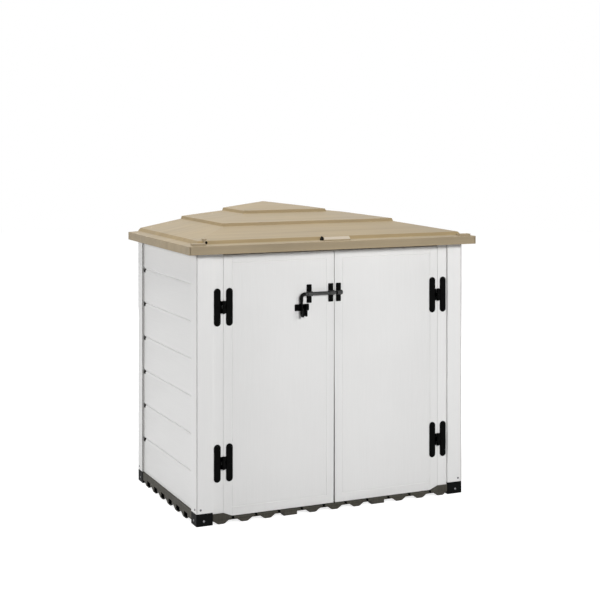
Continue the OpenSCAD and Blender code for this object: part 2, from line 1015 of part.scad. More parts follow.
// ROOF
// Outline over the width, moved in and down by w
function side_points(w) = [
    [-roof_hw + w, rim_z0 - (w > 0 ? 1 : 0)],
    [-roof_hw + w, rim_z1 - rim_bevel - w],
    [-roof_hw + rim_bevel + w, rim_z1 - w],
    [-roof_hw + ledge_w + w, ledge_z - w],
    [-roof_hw + ledge_w + step1_run + w, step1_z - w],
    [-roof_hw + side_step2 - step_run + w, slope1_z - w],
    [-roof_hw + side_step2 + w, step2_z - w],
    [-roof_hw + side_step3 - step_run + w, slope2_z - w],
    [-roof_hw + side_step3 + w, step3_z - w],
    [0, apex_z - w]
];

function mirrored(points) = [for (i = [len(points) - 2:-1:0]) [-points[i][0], points[i][1]]];

// Outline over the depth, moved in and down by w
function front_points(w) = [
    [roof_y0 + w, rim_z0 - (w > 0 ? 1 : 0)],
    [roof_y0 + w, rim_z1 - rim_bevel - w],
    [roof_y0 + rim_bevel + w, rim_z1 - w],
    [roof_y0 + ledge_w + w, ledge_z - w],
    [roof_y0 + ledge_w + step1_run + w, step1_z - w],
    [roof_y0 + front_step2 - step_run + w, slope1_z - w],
    [roof_y0 + front_step2 + w, step2_z - w],
    [roof_y0 + front_step3 - step_run + w, slope2_z - w],
    [roof_y0 + front_step3 + w, step3_z - w],
    [roof_y1 - w, apex_z - w],
    [roof_y1 - w, rim_z0 - (w > 0 ? 1 : 0)]
];

// Everything under the stepped slopes
module roof_form(w) {
    side = side_points(w);
    intersection() {
        translate([0, roof_y1 + 1, 0])
            rotate([90, 0, 0])
                linear_extrude(roof_y1 - roof_y0 + 2)
                    polygon(concat(side, mirrored(side)));
        translate([-roof_hw - 1, 0, 0])
            rotate([90, 0, 90])
                linear_extrude(2 * roof_hw + 2)
                    polygon(front_points(w));
    }
}

// Closed hollow between the roof's two skins, parted by ribs
module roof_void() {
    difference() {
        intersection() {
            roof_form(roof_wall);
            translate([-roof_hw, roof_y0, wall_top + roof_wall])
                cube([2 * roof_hw, roof_y1 - roof_y0, apex_z]);
        }
        for (i = [1:roof_bays_x - 1])
            translate([roof_hw * (2 * i / roof_bays_x - 1) - roof_rib / 2, roof_y0, 0])
                cube([roof_rib, roof_y1 - roof_y0, 2 * apex_z]);
        for (j = [1:roof_bays_y - 1])
            translate([-roof_hw, roof_y0 + (roof_y1 - roof_y0) * j / roof_bays_y - roof_rib / 2, 0])
                cube([2 * roof_hw, roof_rib, 2 * apex_z]);
    }
}

// Pegs that stand in the hollow posts
module roof_plugs() {
    for (right = [false, true])
        for (back = [false, true])
            on_side(right)
                on_end(back)
                    translate([xl + post_wall + fit, yf + post_wall + fit, wall_top - plug_h])
                        cube([plug_w, plug_d, plug_h + roof_wall / 2]);
}

// Plain wedge on the ledge over the doors, and a tab near each front corner of the rim
module roof_marks() {
    inner = ledge_w + step1_run - 1;
    translate([-bar_w / 2, roof_y0, 0])
        rotate([90, 0, 90])
            linear_extrude(bar_w)
                polygon([
                    [0, rim_z1 - 2 * rim_bevel], [0, rim_z1 + bar_lift],
                    [inner, step1_z - 1], [inner, rim_z1 - 1]
                ]);
    for (right = [false, true])
        on_side(right)
            translate([-roof_hw + tab_in, roof_y0 + 12, rim_z1 - 1])
                cube([tab_w, ledge_w - 14, ledge_rise + tab_h]);
}

// Shallow pockets at the wedge's end and beside the tabs
module roof_pockets() {
    translate([-bar_w / 2 - 9, roof_y0 + 14, ledge_z - 2.5])
        cube([9, 14, 8]);
    for (right = [false, true])
        on_side(right)
            translate([-roof_hw + tab_in + tab_w, roof_y0 + 16, ledge_z - 2.5])
                cube([9, 12, 8]);
}

module roof() {
    color(ROOF)
        difference() {
            union() {
                difference() {
                    roof_form(0);
                    translate([-roof_hw + roof_wall, roof_y0 + roof_wall, rim_z0 - 1])
                        cube([2 * (roof_hw - roof_wall), roof_y1 - roof_y0 - 2 * roof_wall, rim_drop + 1]);
                }
                roof_plugs();
                roof_marks();
            }
            roof_pockets();
            roof_void();
        }
}

// SCREWS OF POSTS AND FEET
module post_screws() {
    color(GREY)
        for (right = [false, true])
            for (back = [false, true])
                on_side(right)
                    on_end(back)
                        at_post_screws(floor_h + post_screw_up, post_screw_in)
                            screw();
}

module foot_screws() {
    color(STEEL)
        for (right = [false, true])
            for (back = [false, true])
                on_side(right)
                    on_end(back)
                        at_post_screws(foot_screw_z, foot_screw_in)
                            screw();
}

floor_panel();
foot_cap(false, false);  // foot_cap_front_left
foot_cap(true, false);  // foot_cap_front_right
foot_cap(false, true);  // foot_cap_back_left
foot_cap(true, true);  // foot_cap_back_right
post(false, false);  // post_front_left
post(true, false);  // post_front_right
post(false, true);  // post_back_left
post(true, true);  // post_back_right
side_board(false, 1);  // left_board_1
side_board(false, 2);  // left_board_2
side_board(false, 3);  // left_board_3
side_board(false, 4);  // left_board_4
side_board(false, 5);  // left_board_5
side_board(false, 6);  // left_board_6
side_board(false, 7);  // left_board_7
side_board(true, 1);  // right_board_1
side_board(true, 2);  // right_board_2
side_board(true, 3);  // right_board_3
side_board(true, 4);  // right_board_4
side_board(true, 5);  // right_board_5
side_board(true, 6);  // right_board_6
side_board(true, 7);  // right_board_7
back_board(1);  // back_board_1
back_board(2);  // back_board_2
back_board(3);  // back_board_3
back_board(4);  // back_board_4
back_board(5);  // back_board_5
back_board(6);  // back_board_6
back_board(7);  // back_board_7
jamb(false);  // left_jamb
jamb(true);  // right_jamb
lintel();
roof();
left_door_panel();
right_door_panel();
jamb_leaf(false, upper_hinge_z);  // jamb_leaf_upper_left
jamb_leaf(false, lower_hinge_z);  // jamb_leaf_lower_left
jamb_leaf(true, upper_hinge_z);  // jamb_leaf_upper_right
jamb_leaf(true, lower_hinge_z);  // jamb_leaf_lower_right
door_leaf(false, upper_hinge_z);  // door_leaf_upper_left
door_leaf(false, lower_hinge_z);  // door_leaf_lower_left
door_leaf(true, upper_hinge_z);  // door_leaf_upper_right
door_leaf(true, lower_hinge_z);  // door_leaf_lower_right
hinge_pins();
jamb_screws();
left_door_screws();
right_door_screws();
outer_strap();
inner_strap();
keeper();
padlock_plate();
bolt_rod();
bolt_tail();
post_screws();
foot_screws();
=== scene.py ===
import bpy
import bmesh
import math
from mathutils import Matrix, Vector


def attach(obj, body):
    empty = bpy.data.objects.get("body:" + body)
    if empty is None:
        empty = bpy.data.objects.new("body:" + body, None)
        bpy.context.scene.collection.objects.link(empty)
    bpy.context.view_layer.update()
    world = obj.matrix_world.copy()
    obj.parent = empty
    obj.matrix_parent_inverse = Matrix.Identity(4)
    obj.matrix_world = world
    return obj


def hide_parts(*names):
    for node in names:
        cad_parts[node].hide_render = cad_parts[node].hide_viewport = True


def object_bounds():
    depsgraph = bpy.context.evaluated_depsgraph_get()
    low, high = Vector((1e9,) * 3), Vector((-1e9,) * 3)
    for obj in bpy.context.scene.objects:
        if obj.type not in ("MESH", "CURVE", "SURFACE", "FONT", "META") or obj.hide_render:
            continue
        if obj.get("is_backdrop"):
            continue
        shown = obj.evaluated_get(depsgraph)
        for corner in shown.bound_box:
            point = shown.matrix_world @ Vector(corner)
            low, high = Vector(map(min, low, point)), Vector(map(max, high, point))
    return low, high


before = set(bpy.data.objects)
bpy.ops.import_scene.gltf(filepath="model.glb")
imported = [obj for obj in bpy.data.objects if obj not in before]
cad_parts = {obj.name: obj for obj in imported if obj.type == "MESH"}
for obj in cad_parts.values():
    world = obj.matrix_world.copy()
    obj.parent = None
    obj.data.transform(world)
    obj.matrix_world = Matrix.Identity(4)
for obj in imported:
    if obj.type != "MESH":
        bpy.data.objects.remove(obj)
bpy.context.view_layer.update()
scene = bpy.context.scene
scene.view_settings.view_transform = "Standard"


# CAMERA
# The photograph is taken from the left of the doors, a little above the roof, with the
# camera level and its lens shifted down, so that upright lines stay upright.
camera = bpy.data.objects.new("camera", bpy.data.cameras.new("camera"))
camera.data.sensor_width = 36
camera.data.lens = 78.321
camera.data.shift_y = -0.28485
camera.data.clip_end = 100
camera.matrix_world = (
    Matrix.Translation((-2.2221, -4.9524, 1.4886))
    @ Matrix.Rotation(math.radians(-24.218), 4, "Z")
    @ Matrix.Rotation(math.radians(90), 4, "X")
)
scene.collection.objects.link(camera)
scene.camera = camera


# STUDIO
# A white room with dim walls: softboxes stand to the left of the box and in front of it, weaker
# ones to its right and behind it, and one hangs over the roof.
world = bpy.data.worlds.new("studio")
scene.world = world
world.use_nodes = True
sky = world.node_tree
sky.nodes.clear()
even = sky.nodes.new("ShaderNodeBackground")
even.inputs["Color"].default_value = (1, 1, 1, 1)
even.inputs["Strength"].default_value = 0.015
white = sky.nodes.new("ShaderNodeBackground")
white.inputs["Color"].default_value = (1, 1, 1, 1)
white.inputs["Strength"].default_value = 1.0


def seen_or_mirrored(tree):
    """One where the surface is looked at, straight, in a reflection or through glass."""
    ray = tree.nodes.new("ShaderNodeLightPath")
    total = ray.outputs["Is Camera Ray"]
    for kind in ("Is Glossy Ray", "Is Transmission Ray"):
        either = tree.nodes.new("ShaderNodeMath")
        either.operation = "MAXIMUM"
        tree.links.new(total, either.inputs[0])
        tree.links.new(ray.outputs[kind], either.inputs[1])
        total = either.outputs[0]
    return total


pick = sky.nodes.new("ShaderNodeMixShader")
sky.links.new(seen_or_mirrored(sky), pick.inputs["Fac"])
sky.links.new(even.outputs[0], pick.inputs[1])
sky.links.new(white.outputs[0], pick.inputs[2])
sky_out = sky.nodes.new("ShaderNodeOutputWorld")
sky.links.new(pick.outputs[0], sky_out.inputs["Surface"])


def softbox(name, place, target, size, watts, shines=True):
    """A large square lamp at that place, turned towards the target; without shine it only fills."""
    lamp = bpy.data.lights.new(name, "AREA")
    lamp.shape = "SQUARE"
    lamp.size = size
    lamp.energy = watts
    stand = bpy.data.objects.new(name, lamp)
    scene.collection.objects.link(stand)
    stand.visible_glossy = shines
    stand.location = place
    stand.rotation_euler = (Vector(target) - Vector(place)).to_track_quat("-Z", "Y").to_euler()


softbox("overhead", (-0.8, 0.4, 4.2), (0, 0, 1.0), 2.0, 96)
softbox("left", (-5.1, -0.26, 2.3), (0, 0, 0.6), 1.4, 122)
softbox("front", (0.75, -5.4, 2.9), (0, 0, 0.6), 1.2, 178)
softbox("front_right", (3.4, -4.1, 2.75), (0, 0, 0.6), 1.1, 58)
softbox("right", (5.1, 0.6, 1.3), (0, 0, 0.6), 1.4, 80, False)
softbox("back", (0.9, 5.4, 1.3), (0, 0, 0.6), 1.6, 80, False)

# The ground is white paper lit by the same lamps, so it keeps the box's soft shadow. It glows
# to the eye alone, fully at a distance, and throws back less light than it shows.
ground_mesh = bpy.data.meshes.new("ground")
made = bmesh.new()
bmesh.ops.create_circle(made, cap_ends=True, radius=14, segments=96)
made.to_mesh(ground_mesh)
made.free()
ground = bpy.data.objects.new("ground", ground_mesh)
ground.location.z = -0.0008
scene.collection.objects.link(ground)
paper = bpy.data.materials.new("white_ground")
paper.use_nodes = True
n, link = paper.node_tree.nodes, paper.node_tree.links
n.clear()
dim = n.new("ShaderNodeBsdfDiffuse")
dim.inputs["Color"].default_value = (0.46, 0.46, 0.46, 1)
matt = n.new("ShaderNodeBsdfDiffuse")
matt.inputs["Color"].default_value = (0.60, 0.60, 0.60, 1)
spot = n.new("ShaderNodeTexCoord")
away = n.new("ShaderNodeVectorMath")
away.operation = "LENGTH"
link.new(spot.outputs["Object"], away.inputs[0])
fade = n.new("ShaderNodeMapRange")
fade.inputs["From Min"].default_value = 0.7
fade.inputs["From Max"].default_value = 1.8
fade.inputs["To Min"].default_value = 0.80
fade.inputs["To Max"].default_value = 1.0
link.new(away.outputs["Value"], fade.inputs["Value"])
glow = n.new("ShaderNodeEmission")
link.new(fade.outputs["Result"], glow.inputs["Strength"])
both = n.new("ShaderNodeAddShader")
link.new(matt.outputs[0], both.inputs[0])
link.new(glow.outputs[0], both.inputs[1])
choose = n.new("ShaderNodeMixShader")
link.new(seen_or_mirrored(paper.node_tree), choose.inputs["Fac"])
link.new(dim.outputs[0], choose.inputs[1])
link.new(both.outputs[0], choose.inputs[2])
out = n.new("ShaderNodeOutputMaterial")
link.new(choose.outputs[0], out.inputs["Surface"])
ground_mesh.materials.append(paper)
ground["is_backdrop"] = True


# WHITE RESIN
# Walls, posts, jambs and doors are one off-white resin. Its skin has a fine brushed
# grain along each piece, a little unevenness of gloss, and edges rubbed paler.
def resin(name, colour, grain, along, rough=0.42, relief=0.35, coarse=0.05, shine=0.42):
    """Moulded resin: grain is how many streaks fall on a metre, and along is their axis."""
    skin = bpy.data.materials.new(name)
    skin.use_nodes = True
    n, link = skin.node_tree.nodes, skin.node_tree.links
    shader = n["Principled BSDF"]
    shader.inputs["Specular IOR Level"].default_value = shine
    place = n.new("ShaderNodeTexCoord")
    stretch = n.new("ShaderNodeMapping")
    scales = [grain * (0.035 if axis == along else 1) for axis in "xyz"]
    stretch.inputs["Scale"].default_value = scales
    link.new(place.outputs["Object"], stretch.inputs["Vector"])
    streaks = n.new("ShaderNodeTexNoise")
    streaks.inputs["Scale"].default_value = 1.0
    streaks.inputs["Detail"].default_value = 5.0
    streaks.inputs["Roughness"].default_value = 0.6
    streaks.inputs["Distortion"].default_value = 0.35
    link.new(stretch.outputs["Vector"], streaks.inputs["Vector"])
    clouds = n.new("ShaderNodeTexNoise")
    clouds.inputs["Scale"].default_value = 3.2
    clouds.inputs["Detail"].default_value = 3.0
    link.new(place.outputs["Object"], clouds.inputs["Vector"])
    pores = n.new("ShaderNodeTexNoise")
    pores.inputs["Scale"].default_value = 900.0
    pores.inputs["Detail"].default_value = 2.0
    link.new(place.outputs["Object"], pores.inputs["Vector"])

    tint = n.new("ShaderNodeValToRGB")
    tint.color_ramp.elements[0].position = 0.38
    tint.color_ramp.elements[1].position = 0.62
    tint.color_ramp.elements[0].color = (*[c * (1 - coarse) for c in colour], 1)
    tint.color_ramp.elements[1].color = (*[min(1, c * (1 + coarse * 0.6)) for c in colour], 1)
    mixed = n.new("ShaderNodeMath")
    mixed.operation = "MULTIPLY_ADD"
    mixed.inputs[1].default_value = 0.55
    link.new(streaks.outputs["Fac"], mixed.inputs[0])
    share = n.new("ShaderNodeMath")
    share.operation = "MULTIPLY"
    share.inputs[1].default_value = 0.45
    link.new(clouds.outputs["Fac"], share.inputs[0])
    link.new(share.outputs[0], mixed.inputs[2])
    link.new(mixed.outputs[0], tint.inputs["Fac"])

    shape = n.new("ShaderNodeNewGeometry")
    rubbed = n.new("ShaderNodeValToRGB")
    rubbed.color_ramp.elements[0].position = 0.52
    rubbed.color_ramp.elements[1].position = 0.62
    rubbed.color_ramp.elements[0].color = (0, 0, 0, 1)
    rubbed.color_ramp.elements[1].color = (0.35, 0.35, 0.35, 1)
    link.new(shape.outputs["Pointiness"], rubbed.inputs["Fac"])
    paler = n.new("ShaderNodeMix")
    paler.data_type = "RGBA"
    paler.inputs["B"].default_value = (*[min(1, c * 1.12 + 0.02) for c in colour], 1)
    link.new(rubbed.outputs["Color"], paler.inputs["Factor"])
    link.new(tint.outputs["Color"], paler.inputs["A"])
    link.new(paler.outputs["Result"], shader.inputs["Base Color"])

    gloss = n.new("ShaderNodeMapRange")
    gloss.inputs["From Min"].default_value = 0.3
    gloss.inputs["From Max"].default_value = 0.7
    gloss.inputs["To Min"].default_value = rough - 0.06
    gloss.inputs["To Max"].default_value = rough + 0.08
    link.new(clouds.outputs["Fac"], gloss.inputs["Value"])
    link.new(gloss.outputs["Result"], shader.inputs["Roughness"])

    groove = n.new("ShaderNodeBump")
    groove.inputs["Strength"].default_value = relief
    groove.inputs["Distance"].default_value = 0.0006
    link.new(streaks.outputs["Fac"], groove.inputs["Height"])
    fine = n.new("ShaderNodeBump")
    fine.inputs["Strength"].default_value = relief * 0.5
    fine.inputs["Distance"].default_value = 0.0002
    link.new(pores.outputs["Fac"], fine.inputs["Height"])
    link.new(groove.outputs["Normal"], fine.inputs["Normal"])
    link.new(fine.outputs["Normal"], shader.inputs["Normal"])
    return skin


WALL_WHITE = (0.775, 0.772, 0.765)
BRUSHED = 260
white_upright = resin("white_resin_upright", WALL_WHITE, BRUSHED, "z", coarse=0.025)
white_side = resin("white_resin_side_boards", WALL_WHITE, BRUSHED, "y", coarse=0.025)
white_across = resin("white_resin_across", WALL_WHITE, BRUSHED, "x", coarse=0.025)
# A near-black resin, painted shade: it darkens the slanted seam faces of the posts and the faces
# inside the board notches, where shade falls.
painted_shade = resin(
    "painted_shade_resin", (0.065, 0.060, 0.050), BRUSHED, "z",
    rough=0.7, relief=0.3, coarse=0.2, shine=0.1,
)


def block(bm, low, high):
    """A box between two corners in millimetres of the row's frame."""
    low, high = Vector(low) / 1000, Vector(high) / 1000
    place = Matrix.Translation((low + high) / 2) @ Matrix.Diagonal((*(high - low), 1))
    return bmesh.ops.create_cube(bm, size=1, matrix=place)["verts"]


def prism(bm, outline, start, end, across):
    """An outline in millimetres, drawn square to an axis and drawn out along it."""
    order = {"x": (2, 0, 1), "y": (0, 2, 1), "z": (0, 1, 2)}[across]

    def spot(u, v, w):
        point = (u, v, w)
        return Vector([point[i] for i in order]) / 1000

    face = bm.faces.new([bm.verts.new(spot(u, v, start)) for u, v in outline])
    grown = bmesh.ops.extrude_face_region(bm, geom=[face])["geom"]
    fresh = [g for g in grown if isinstance(g, bmesh.types.BMVert)]
    bmesh.ops.translate(bm, verts=fresh, vec=spot(0, 0, end - start))


def bead(bm, width, segments=2, angle=30, where=None):
    """Rounds the edges that turn by more than the angle, all of them or those of one place."""
    bmesh.ops.recalc_face_normals(bm, faces=bm.faces)
    edges = [
        e for e in bm.edges
        if len(e.link_faces) == 2 and e.calc_face_angle() > math.radians(angle)
        and (where is None or where(e))
    ]
    bmesh.ops.bevel(
        bm, geom=edges, offset=width / 1000, segments=segments, profile=0.5,
        affect="EDGES", material=-1, clamp_overlap=True,
    )


def carve(bm, cutters):
    """The first mesh with the closed shapes of the second cut out of it; both are used up."""
    pair = []
    for source in (bm, cutters):
        bmesh.ops.recalc_face_normals(source, faces=source.faces)
        mesh = bpy.data.meshes.new("carving")
        source.to_mesh(mesh)
        source.free()
        pair.append(bpy.data.objects.new("carving", mesh))
        scene.collection.objects.link(pair[-1])
    cut = pair[0].modifiers.new("cut", "BOOLEAN")
    cut.object = pair[1]
    cut.solver = "EXACT"
    cut.use_self = True
    carved = bmesh.new()
    carved.from_object(pair[0], bpy.context.evaluated_depsgraph_get())
    for ob in pair:
        mesh = ob.data
        bpy.data.objects.remove(ob)
        bpy.data.meshes.remove(mesh)
    return carved


def merge(bm, other):
    """Adds a second mesh to the first, loose and with its own slots; the second is used up."""
    mesh = bpy.data.meshes.new("merged")
    other.to_mesh(mesh)
    other.free()
    bm.from_mesh(mesh)
    bpy.data.meshes.remove(mesh)


def piece(name, bm, skin, body, nodes=None, smooth=38):
    """Makes the finished object, which stands for its CAD nodes and rides their body."""
    bmesh.ops.recalc_face_normals(bm, faces=bm.faces)
    mesh = bpy.data.meshes.new(name)
    bm.to_mesh(mesh)
    bm.free()
    mesh.polygons.foreach_set("use_smooth", [True] * len(mesh.polygons))
    mesh.set_sharp_from_angle(angle=math.radians(smooth))
    mesh.materials.append(skin)
    ob = bpy.data.objects.new(name, mesh)
    scene.collection.objects.link(ob)
    even_out = ob.modifiers.new("even_normals", "WEIGHTED_NORMAL")
    even_out.keep_sharp = True
    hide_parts(*(nodes or [name.replace("shown_", "")]))
    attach(ob, body)
    return ob


# CORNER POSTS
# Four hollow uprights with a fine slot beside the outer corner. Open grooves in their sides
# take the wall boards, and the jambs or the boards of the back wall.
SIDE = 575
FRONT, BACK = -347, 383
MIDDLE = (FRONT + BACK) / 2
CAP_TOP, WALL_TOP = 48, 1042
POST_W, POST_D, POST_CHAMFER = 66, 60, 0.8
SLOT_NEAR, SLOT_FAR, SLOT_DEPTH = 1.2, 3.6, 8
JAMB_GROOVE_END = 52
BOARD_NEAR, BOARD_FAR, BOARD_GROOVE_END = 6, 28, 46
SEAM_X, SEAM_Y = 2.2, 58
SHARP_WITHIN = 7


def on_post(outline, sx, end):
    """Points measured inwards from a post's outer corner, put on the post that is meant."""
    return [(sx * (x - SIDE), FRONT + y if end == "front" else BACK - y) for x, y in outline]


def upright(e):
    """Whether an edge runs up a post or a jamb."""
    return abs(e.verts[0].co.z - e.verts[1].co.z) > 0.5


for side, sx in (("left", 1), ("right", -1)):
    for end in ("front", "back"):
        lip, far = (9.5, 28.5) if end == "front" else (3, 28)
        outline = [
            (0, POST_CHAMFER), (POST_CHAMFER, 0),
            (SLOT_NEAR, 0), (SLOT_NEAR, SLOT_DEPTH), (SLOT_FAR, SLOT_DEPTH), (SLOT_FAR, 0),
            (POST_W, 0), (POST_W, lip), (JAMB_GROOVE_END, lip), (JAMB_GROOVE_END, far),
            (POST_W, far), (POST_W, POST_D),
            (BOARD_FAR, POST_D), (BOARD_FAR, BOARD_GROOVE_END),
            (BOARD_NEAR, BOARD_GROOVE_END), (BOARD_NEAR, POST_D),
            (SEAM_X, POST_D), (0, SEAM_Y),
        ]
        bm = bmesh.new()
        prism(bm, on_post(outline, sx, end), CAP_TOP, WALL_TOP, "z")
        corner = Vector(on_post([(0, 0)], sx, end)[0]) / 1000
        bead(
            bm, 0.9, 3, 60,
            lambda e: upright(e) and (e.verts[0].co.xy - corner).length > SHARP_WITHIN / 1000,
        )
        # The slanted face at the seam beside the boards gets the near-black resin, painted shade
        # for the dark line there.
        seam_middle = (SEAM_X / 2, (SEAM_Y + POST_D) / 2)
        seam = Vector(on_post([seam_middle], sx, end)[0]) / 1000
        for face in bm.faces:
            if (face.calc_center_median().xy - seam).length < 0.001:
                face.material_index = 1
        node = f"post_{end}_{side}"
        post = piece(f"shown_{node}", bm, white_upright, "root", [node])
        post.data.materials.append(painted_shade)


# WALL BOARDS
# Seven hollow boards a wall, tongue over groove. Chamfered edges leave a shallow V at each
# joint, and small openings show at the joints beside the back posts.
BOARDS, BOARD_H, BOARD_T = 7, 142, 20
TONGUE_NEAR, TONGUE_FAR, TONGUE_TOP = 7, 13, 148
GROOVE_NEAR, GROOVE_FAR, GROOVE_TOP = 6.5, 13.5, 6.5
CHAMFER_X, CHAMFER_Z, FOOT_LIFT = 3, 7, 1
SET_BACK, IN_POST = 7.5, 13
NOTCH_HALF_W, NOTCH_HALF_H, NOTCH_DROP = 9, 8, 5


def board_outline(number):
    """A board's section: the lowest has a plain foot and the highest no tongue."""
    tongue = [
        (TONGUE_FAR, BOARD_H), (TONGUE_FAR, TONGUE_TOP),
        (TONGUE_NEAR, TONGUE_TOP), (TONGUE_NEAR, BOARD_H),
    ]
    foot = [(0, FOOT_LIFT + CHAMFER_Z), (CHAMFER_X, FOOT_LIFT)]
    return [
        *([(0, 0)] if number == 1 else foot),
        (GROOVE_NEAR, FOOT_LIFT), (GROOVE_NEAR, GROOVE_TOP),
        (GROOVE_FAR, GROOVE_TOP), (GROOVE_FAR, 0), (BOARD_T, 0), (BOARD_T, BOARD_H),
        *([] if number == BOARDS else tongue),
        (CHAMFER_X, BOARD_H), (0, BOARD_H - CHAMFER_Z),
    ]


def board(number, open_length, ends, turn):
    """A board whose outline runs inwards from the wall's face; turn maps it onto its wall."""
    bm = bmesh.new()
    half = open_length / 2 + IN_POST
    prism(bm, board_outline(number), -half, half, "y")
    joints = []
    if number > 1:
        joints.append(0)
    if number < BOARDS:
        joints.append(BOARD_H)
    notches = [
        (s * (open_length / 2 - NOTCH_HALF_W), z - NOTCH_DROP) for s in ends for z in joints
    ]
    cutters = bmesh.new()
    for y, z in notches:
        block(
            cutters, (-5, y - NOTCH_HALF_W, z - NOTCH_HALF_H),
            (BOARD_T + 5, y + NOTCH_HALF_W, z + NOTCH_HALF_H),
        )
    bm = carve(bm, cutters)
    # The faces inside the notches get the near-black resin, painted shade for the dark openings.
    reach_y, reach_z = NOTCH_HALF_W + 0.2, NOTCH_HALF_H + 0.2
    for face in bm.faces:
        x, y, z = face.calc_center_median() * 1000
        if x > 0.5 and any(abs(y - v) < reach_y and abs(z - w) < reach_z for v, w in notches):
            face.material_index = 1
    lift = (CAP_TOP + BOARD_H * (number - 1)) / 1000
    bmesh.ops.translate(bm, verts=bm.verts, vec=(0, 0, lift))
    bmesh.ops.transform(bm, verts=bm.verts, matrix=turn)
    return bm


wall_x, wall_y = (SIDE - SET_BACK) / 1000, (BACK - SET_BACK) / 1000
left_wall = Matrix.Translation((-wall_x, MIDDLE / 1000, 0))
right_wall = Matrix.Translation((wall_x, MIDDLE / 1000, 0)) @ Matrix.Rotation(math.pi, 4, "Z")
back_wall = Matrix.Translation((0, wall_y, 0)) @ Matrix.Rotation(math.radians(-90), 4, "Z")
side_length, back_length = BACK - FRONT - 2 * POST_D, 2 * (SIDE - POST_W)
for number in range(1, BOARDS + 1):
    for wall, turn, open_length, ends, skin in (
        ("left", left_wall, side_length, (1,), white_side),
        ("right", right_wall, side_length, (-1,), white_side),
        ("back", back_wall, back_length, (-1, 1), white_across),
    ):
        node = f"{wall}_board_{number}"
        shape = board(number, open_length, ends, turn)
        made = piece(f"shown_{node}", shape, skin, "root", [node], smooth=12)
        made.data.materials.append(painted_shade)


# JAMBS AND LINTEL
# Solid uprights tongued into the front posts carry the hinges; the lintel runs behind the
# doors' tops, where it stops them.
JAMB_LOW, JAMB_NEAR, JAMB_FAR = 40, POST_W + 0.8, 109.5
JAMB_FACE, JAMB_BACK = 7, 33
KEY_END, KEY_FACE, KEY_BACK = 53, 12, 28
for side, sx in (("left", 1), ("right", -1)):
    bm = bmesh.new()
    outline = [
        (KEY_END, KEY_FACE), (JAMB_NEAR, KEY_FACE), (JAMB_NEAR, JAMB_FACE),
        (JAMB_FAR, JAMB_FACE), (JAMB_FAR, JAMB_BACK),
        (JAMB_NEAR, JAMB_BACK), (JAMB_NEAR, KEY_BACK), (KEY_END, KEY_BACK),
    ]
    prism(bm, on_post(outline, sx, "front"), JAMB_LOW, WALL_TOP, "z")
    bead(bm, 0.8, 3, 60, upright)
    node = f"{side}_jamb"
    piece(f"shown_{node}", bm, white_upright, "root", [node])

LINTEL_X, LINTEL_FRONT, LINTEL_BACK, LINTEL_LOW = 518, -310, -290, 972
bm = bmesh.new()
block(bm, (-LINTEL_X, LINTEL_FRONT, LINTEL_LOW), (LINTEL_X, LINTEL_BACK, WALL_TOP))
bead(bm, 1.5, 3)
piece("shown_lintel", bm, white_across, "root", ["lintel"])


# DOORS
# Each door is a flat moulding with a framed field drawn by a fine groove, a clipped lower
# corner at the hinge side, and a grid of ribs behind.
FACE = FRONT + 7
BEHIND = FACE + 26
DOOR_LOW, DOOR_TOP = 25, 1012.5
STEP_LOW, STEP_TOP = 23, 40
STILE_OUT, STILE_IN = -429.5, -35.5
FIELD_LOW, FIELD_TOP = 58.5, 982.5
VEE_HALF, VEE_DEPTH = 1.5, 1.2
COLUMNS, ROWS, RIB, DOOR_SKIN = 4, 8, 4, 5
BOLT_BLOCK = (-180, FACE + 2, 774.5), (-33.5, BEHIND - 0.3, 895.5)

# The left door's outline runs from its clipped corner along the foot, up the closing edge and
# down the hinge side, and neither of these two is quite straight.
DOOR_EDGE = [
    (-464.9, STEP_TOP), (STILE_OUT, DOOR_LOW),
    (-3.3, DOOR_LOW), (-2.2, 400), (-1.1, 640), (-1.1, DOOR_TOP),
    (-464.4, DOOR_TOP), (-464.8, 600),
]


def v_groove(bm, low, high):
    """A V-shaped groove on the door's face between two points (x, z)."""
    over = FACE - 2
    section = [
        (-VEE_HALF, over), (-VEE_HALF, FACE), (0, FACE + VEE_DEPTH),
        (VEE_HALF, FACE), (VEE_HALF, over),
    ]
    (x0, z0), (x1, z1) = low, high
    if x0 == x1:
        prism(bm, [(x0 + u, y) for u, y in section], z0, z1, "z")
    else:
        prism(bm, [(y, z0 + u) for u, y in section], x0, x1, "x")


def door(left):
    """The left door with the solid block behind its bolt, or the right door without one."""
    bm = bmesh.new()
    prism(bm, DOOR_EDGE, FACE, BEHIND, "y")
    bead(bm, 0.5, 2, 20)
    cutters = bmesh.new()
    v_groove(cutters, (STILE_OUT, DOOR_LOW - 5), (STILE_OUT, DOOR_TOP + 7.5))
    v_groove(cutters, (STILE_IN, FIELD_LOW), (STILE_IN, FIELD_TOP))
    for z in (FIELD_LOW, FIELD_TOP):
        v_groove(cutters, (STILE_OUT, z), (STILE_IN, z))
    bm = carve(bm, cutters)
    bays = bmesh.new()
    wide = (STILE_IN - STILE_OUT + RIB) / COLUMNS
    tall = (FIELD_TOP - FIELD_LOW + RIB) / ROWS
    for i in range(COLUMNS):
        for j in range(ROWS):
            x, z = STILE_OUT + i * wide, FIELD_LOW + j * tall
            block(bays, (x, FACE + DOOR_SKIN, z), (x + wide - RIB, BEHIND + 5, z + tall - RIB))
    bead(bays, 3.0, 2, 60, lambda e: abs(e.verts[0].co.y - e.verts[1].co.y) > 0.01)
    bm = carve(bm, bays)
    if left:
        block(bm, *BOLT_BLOCK)
    else:
        bmesh.ops.scale(bm, verts=bm.verts, vec=(-1, 1, 1))
    return bm


for side in ("left", "right"):
    node = f"{side}_door_panel"
    shape = door(side == "left")
    piece(f"shown_{node}", shape, white_upright, f"{side}_door", [node])


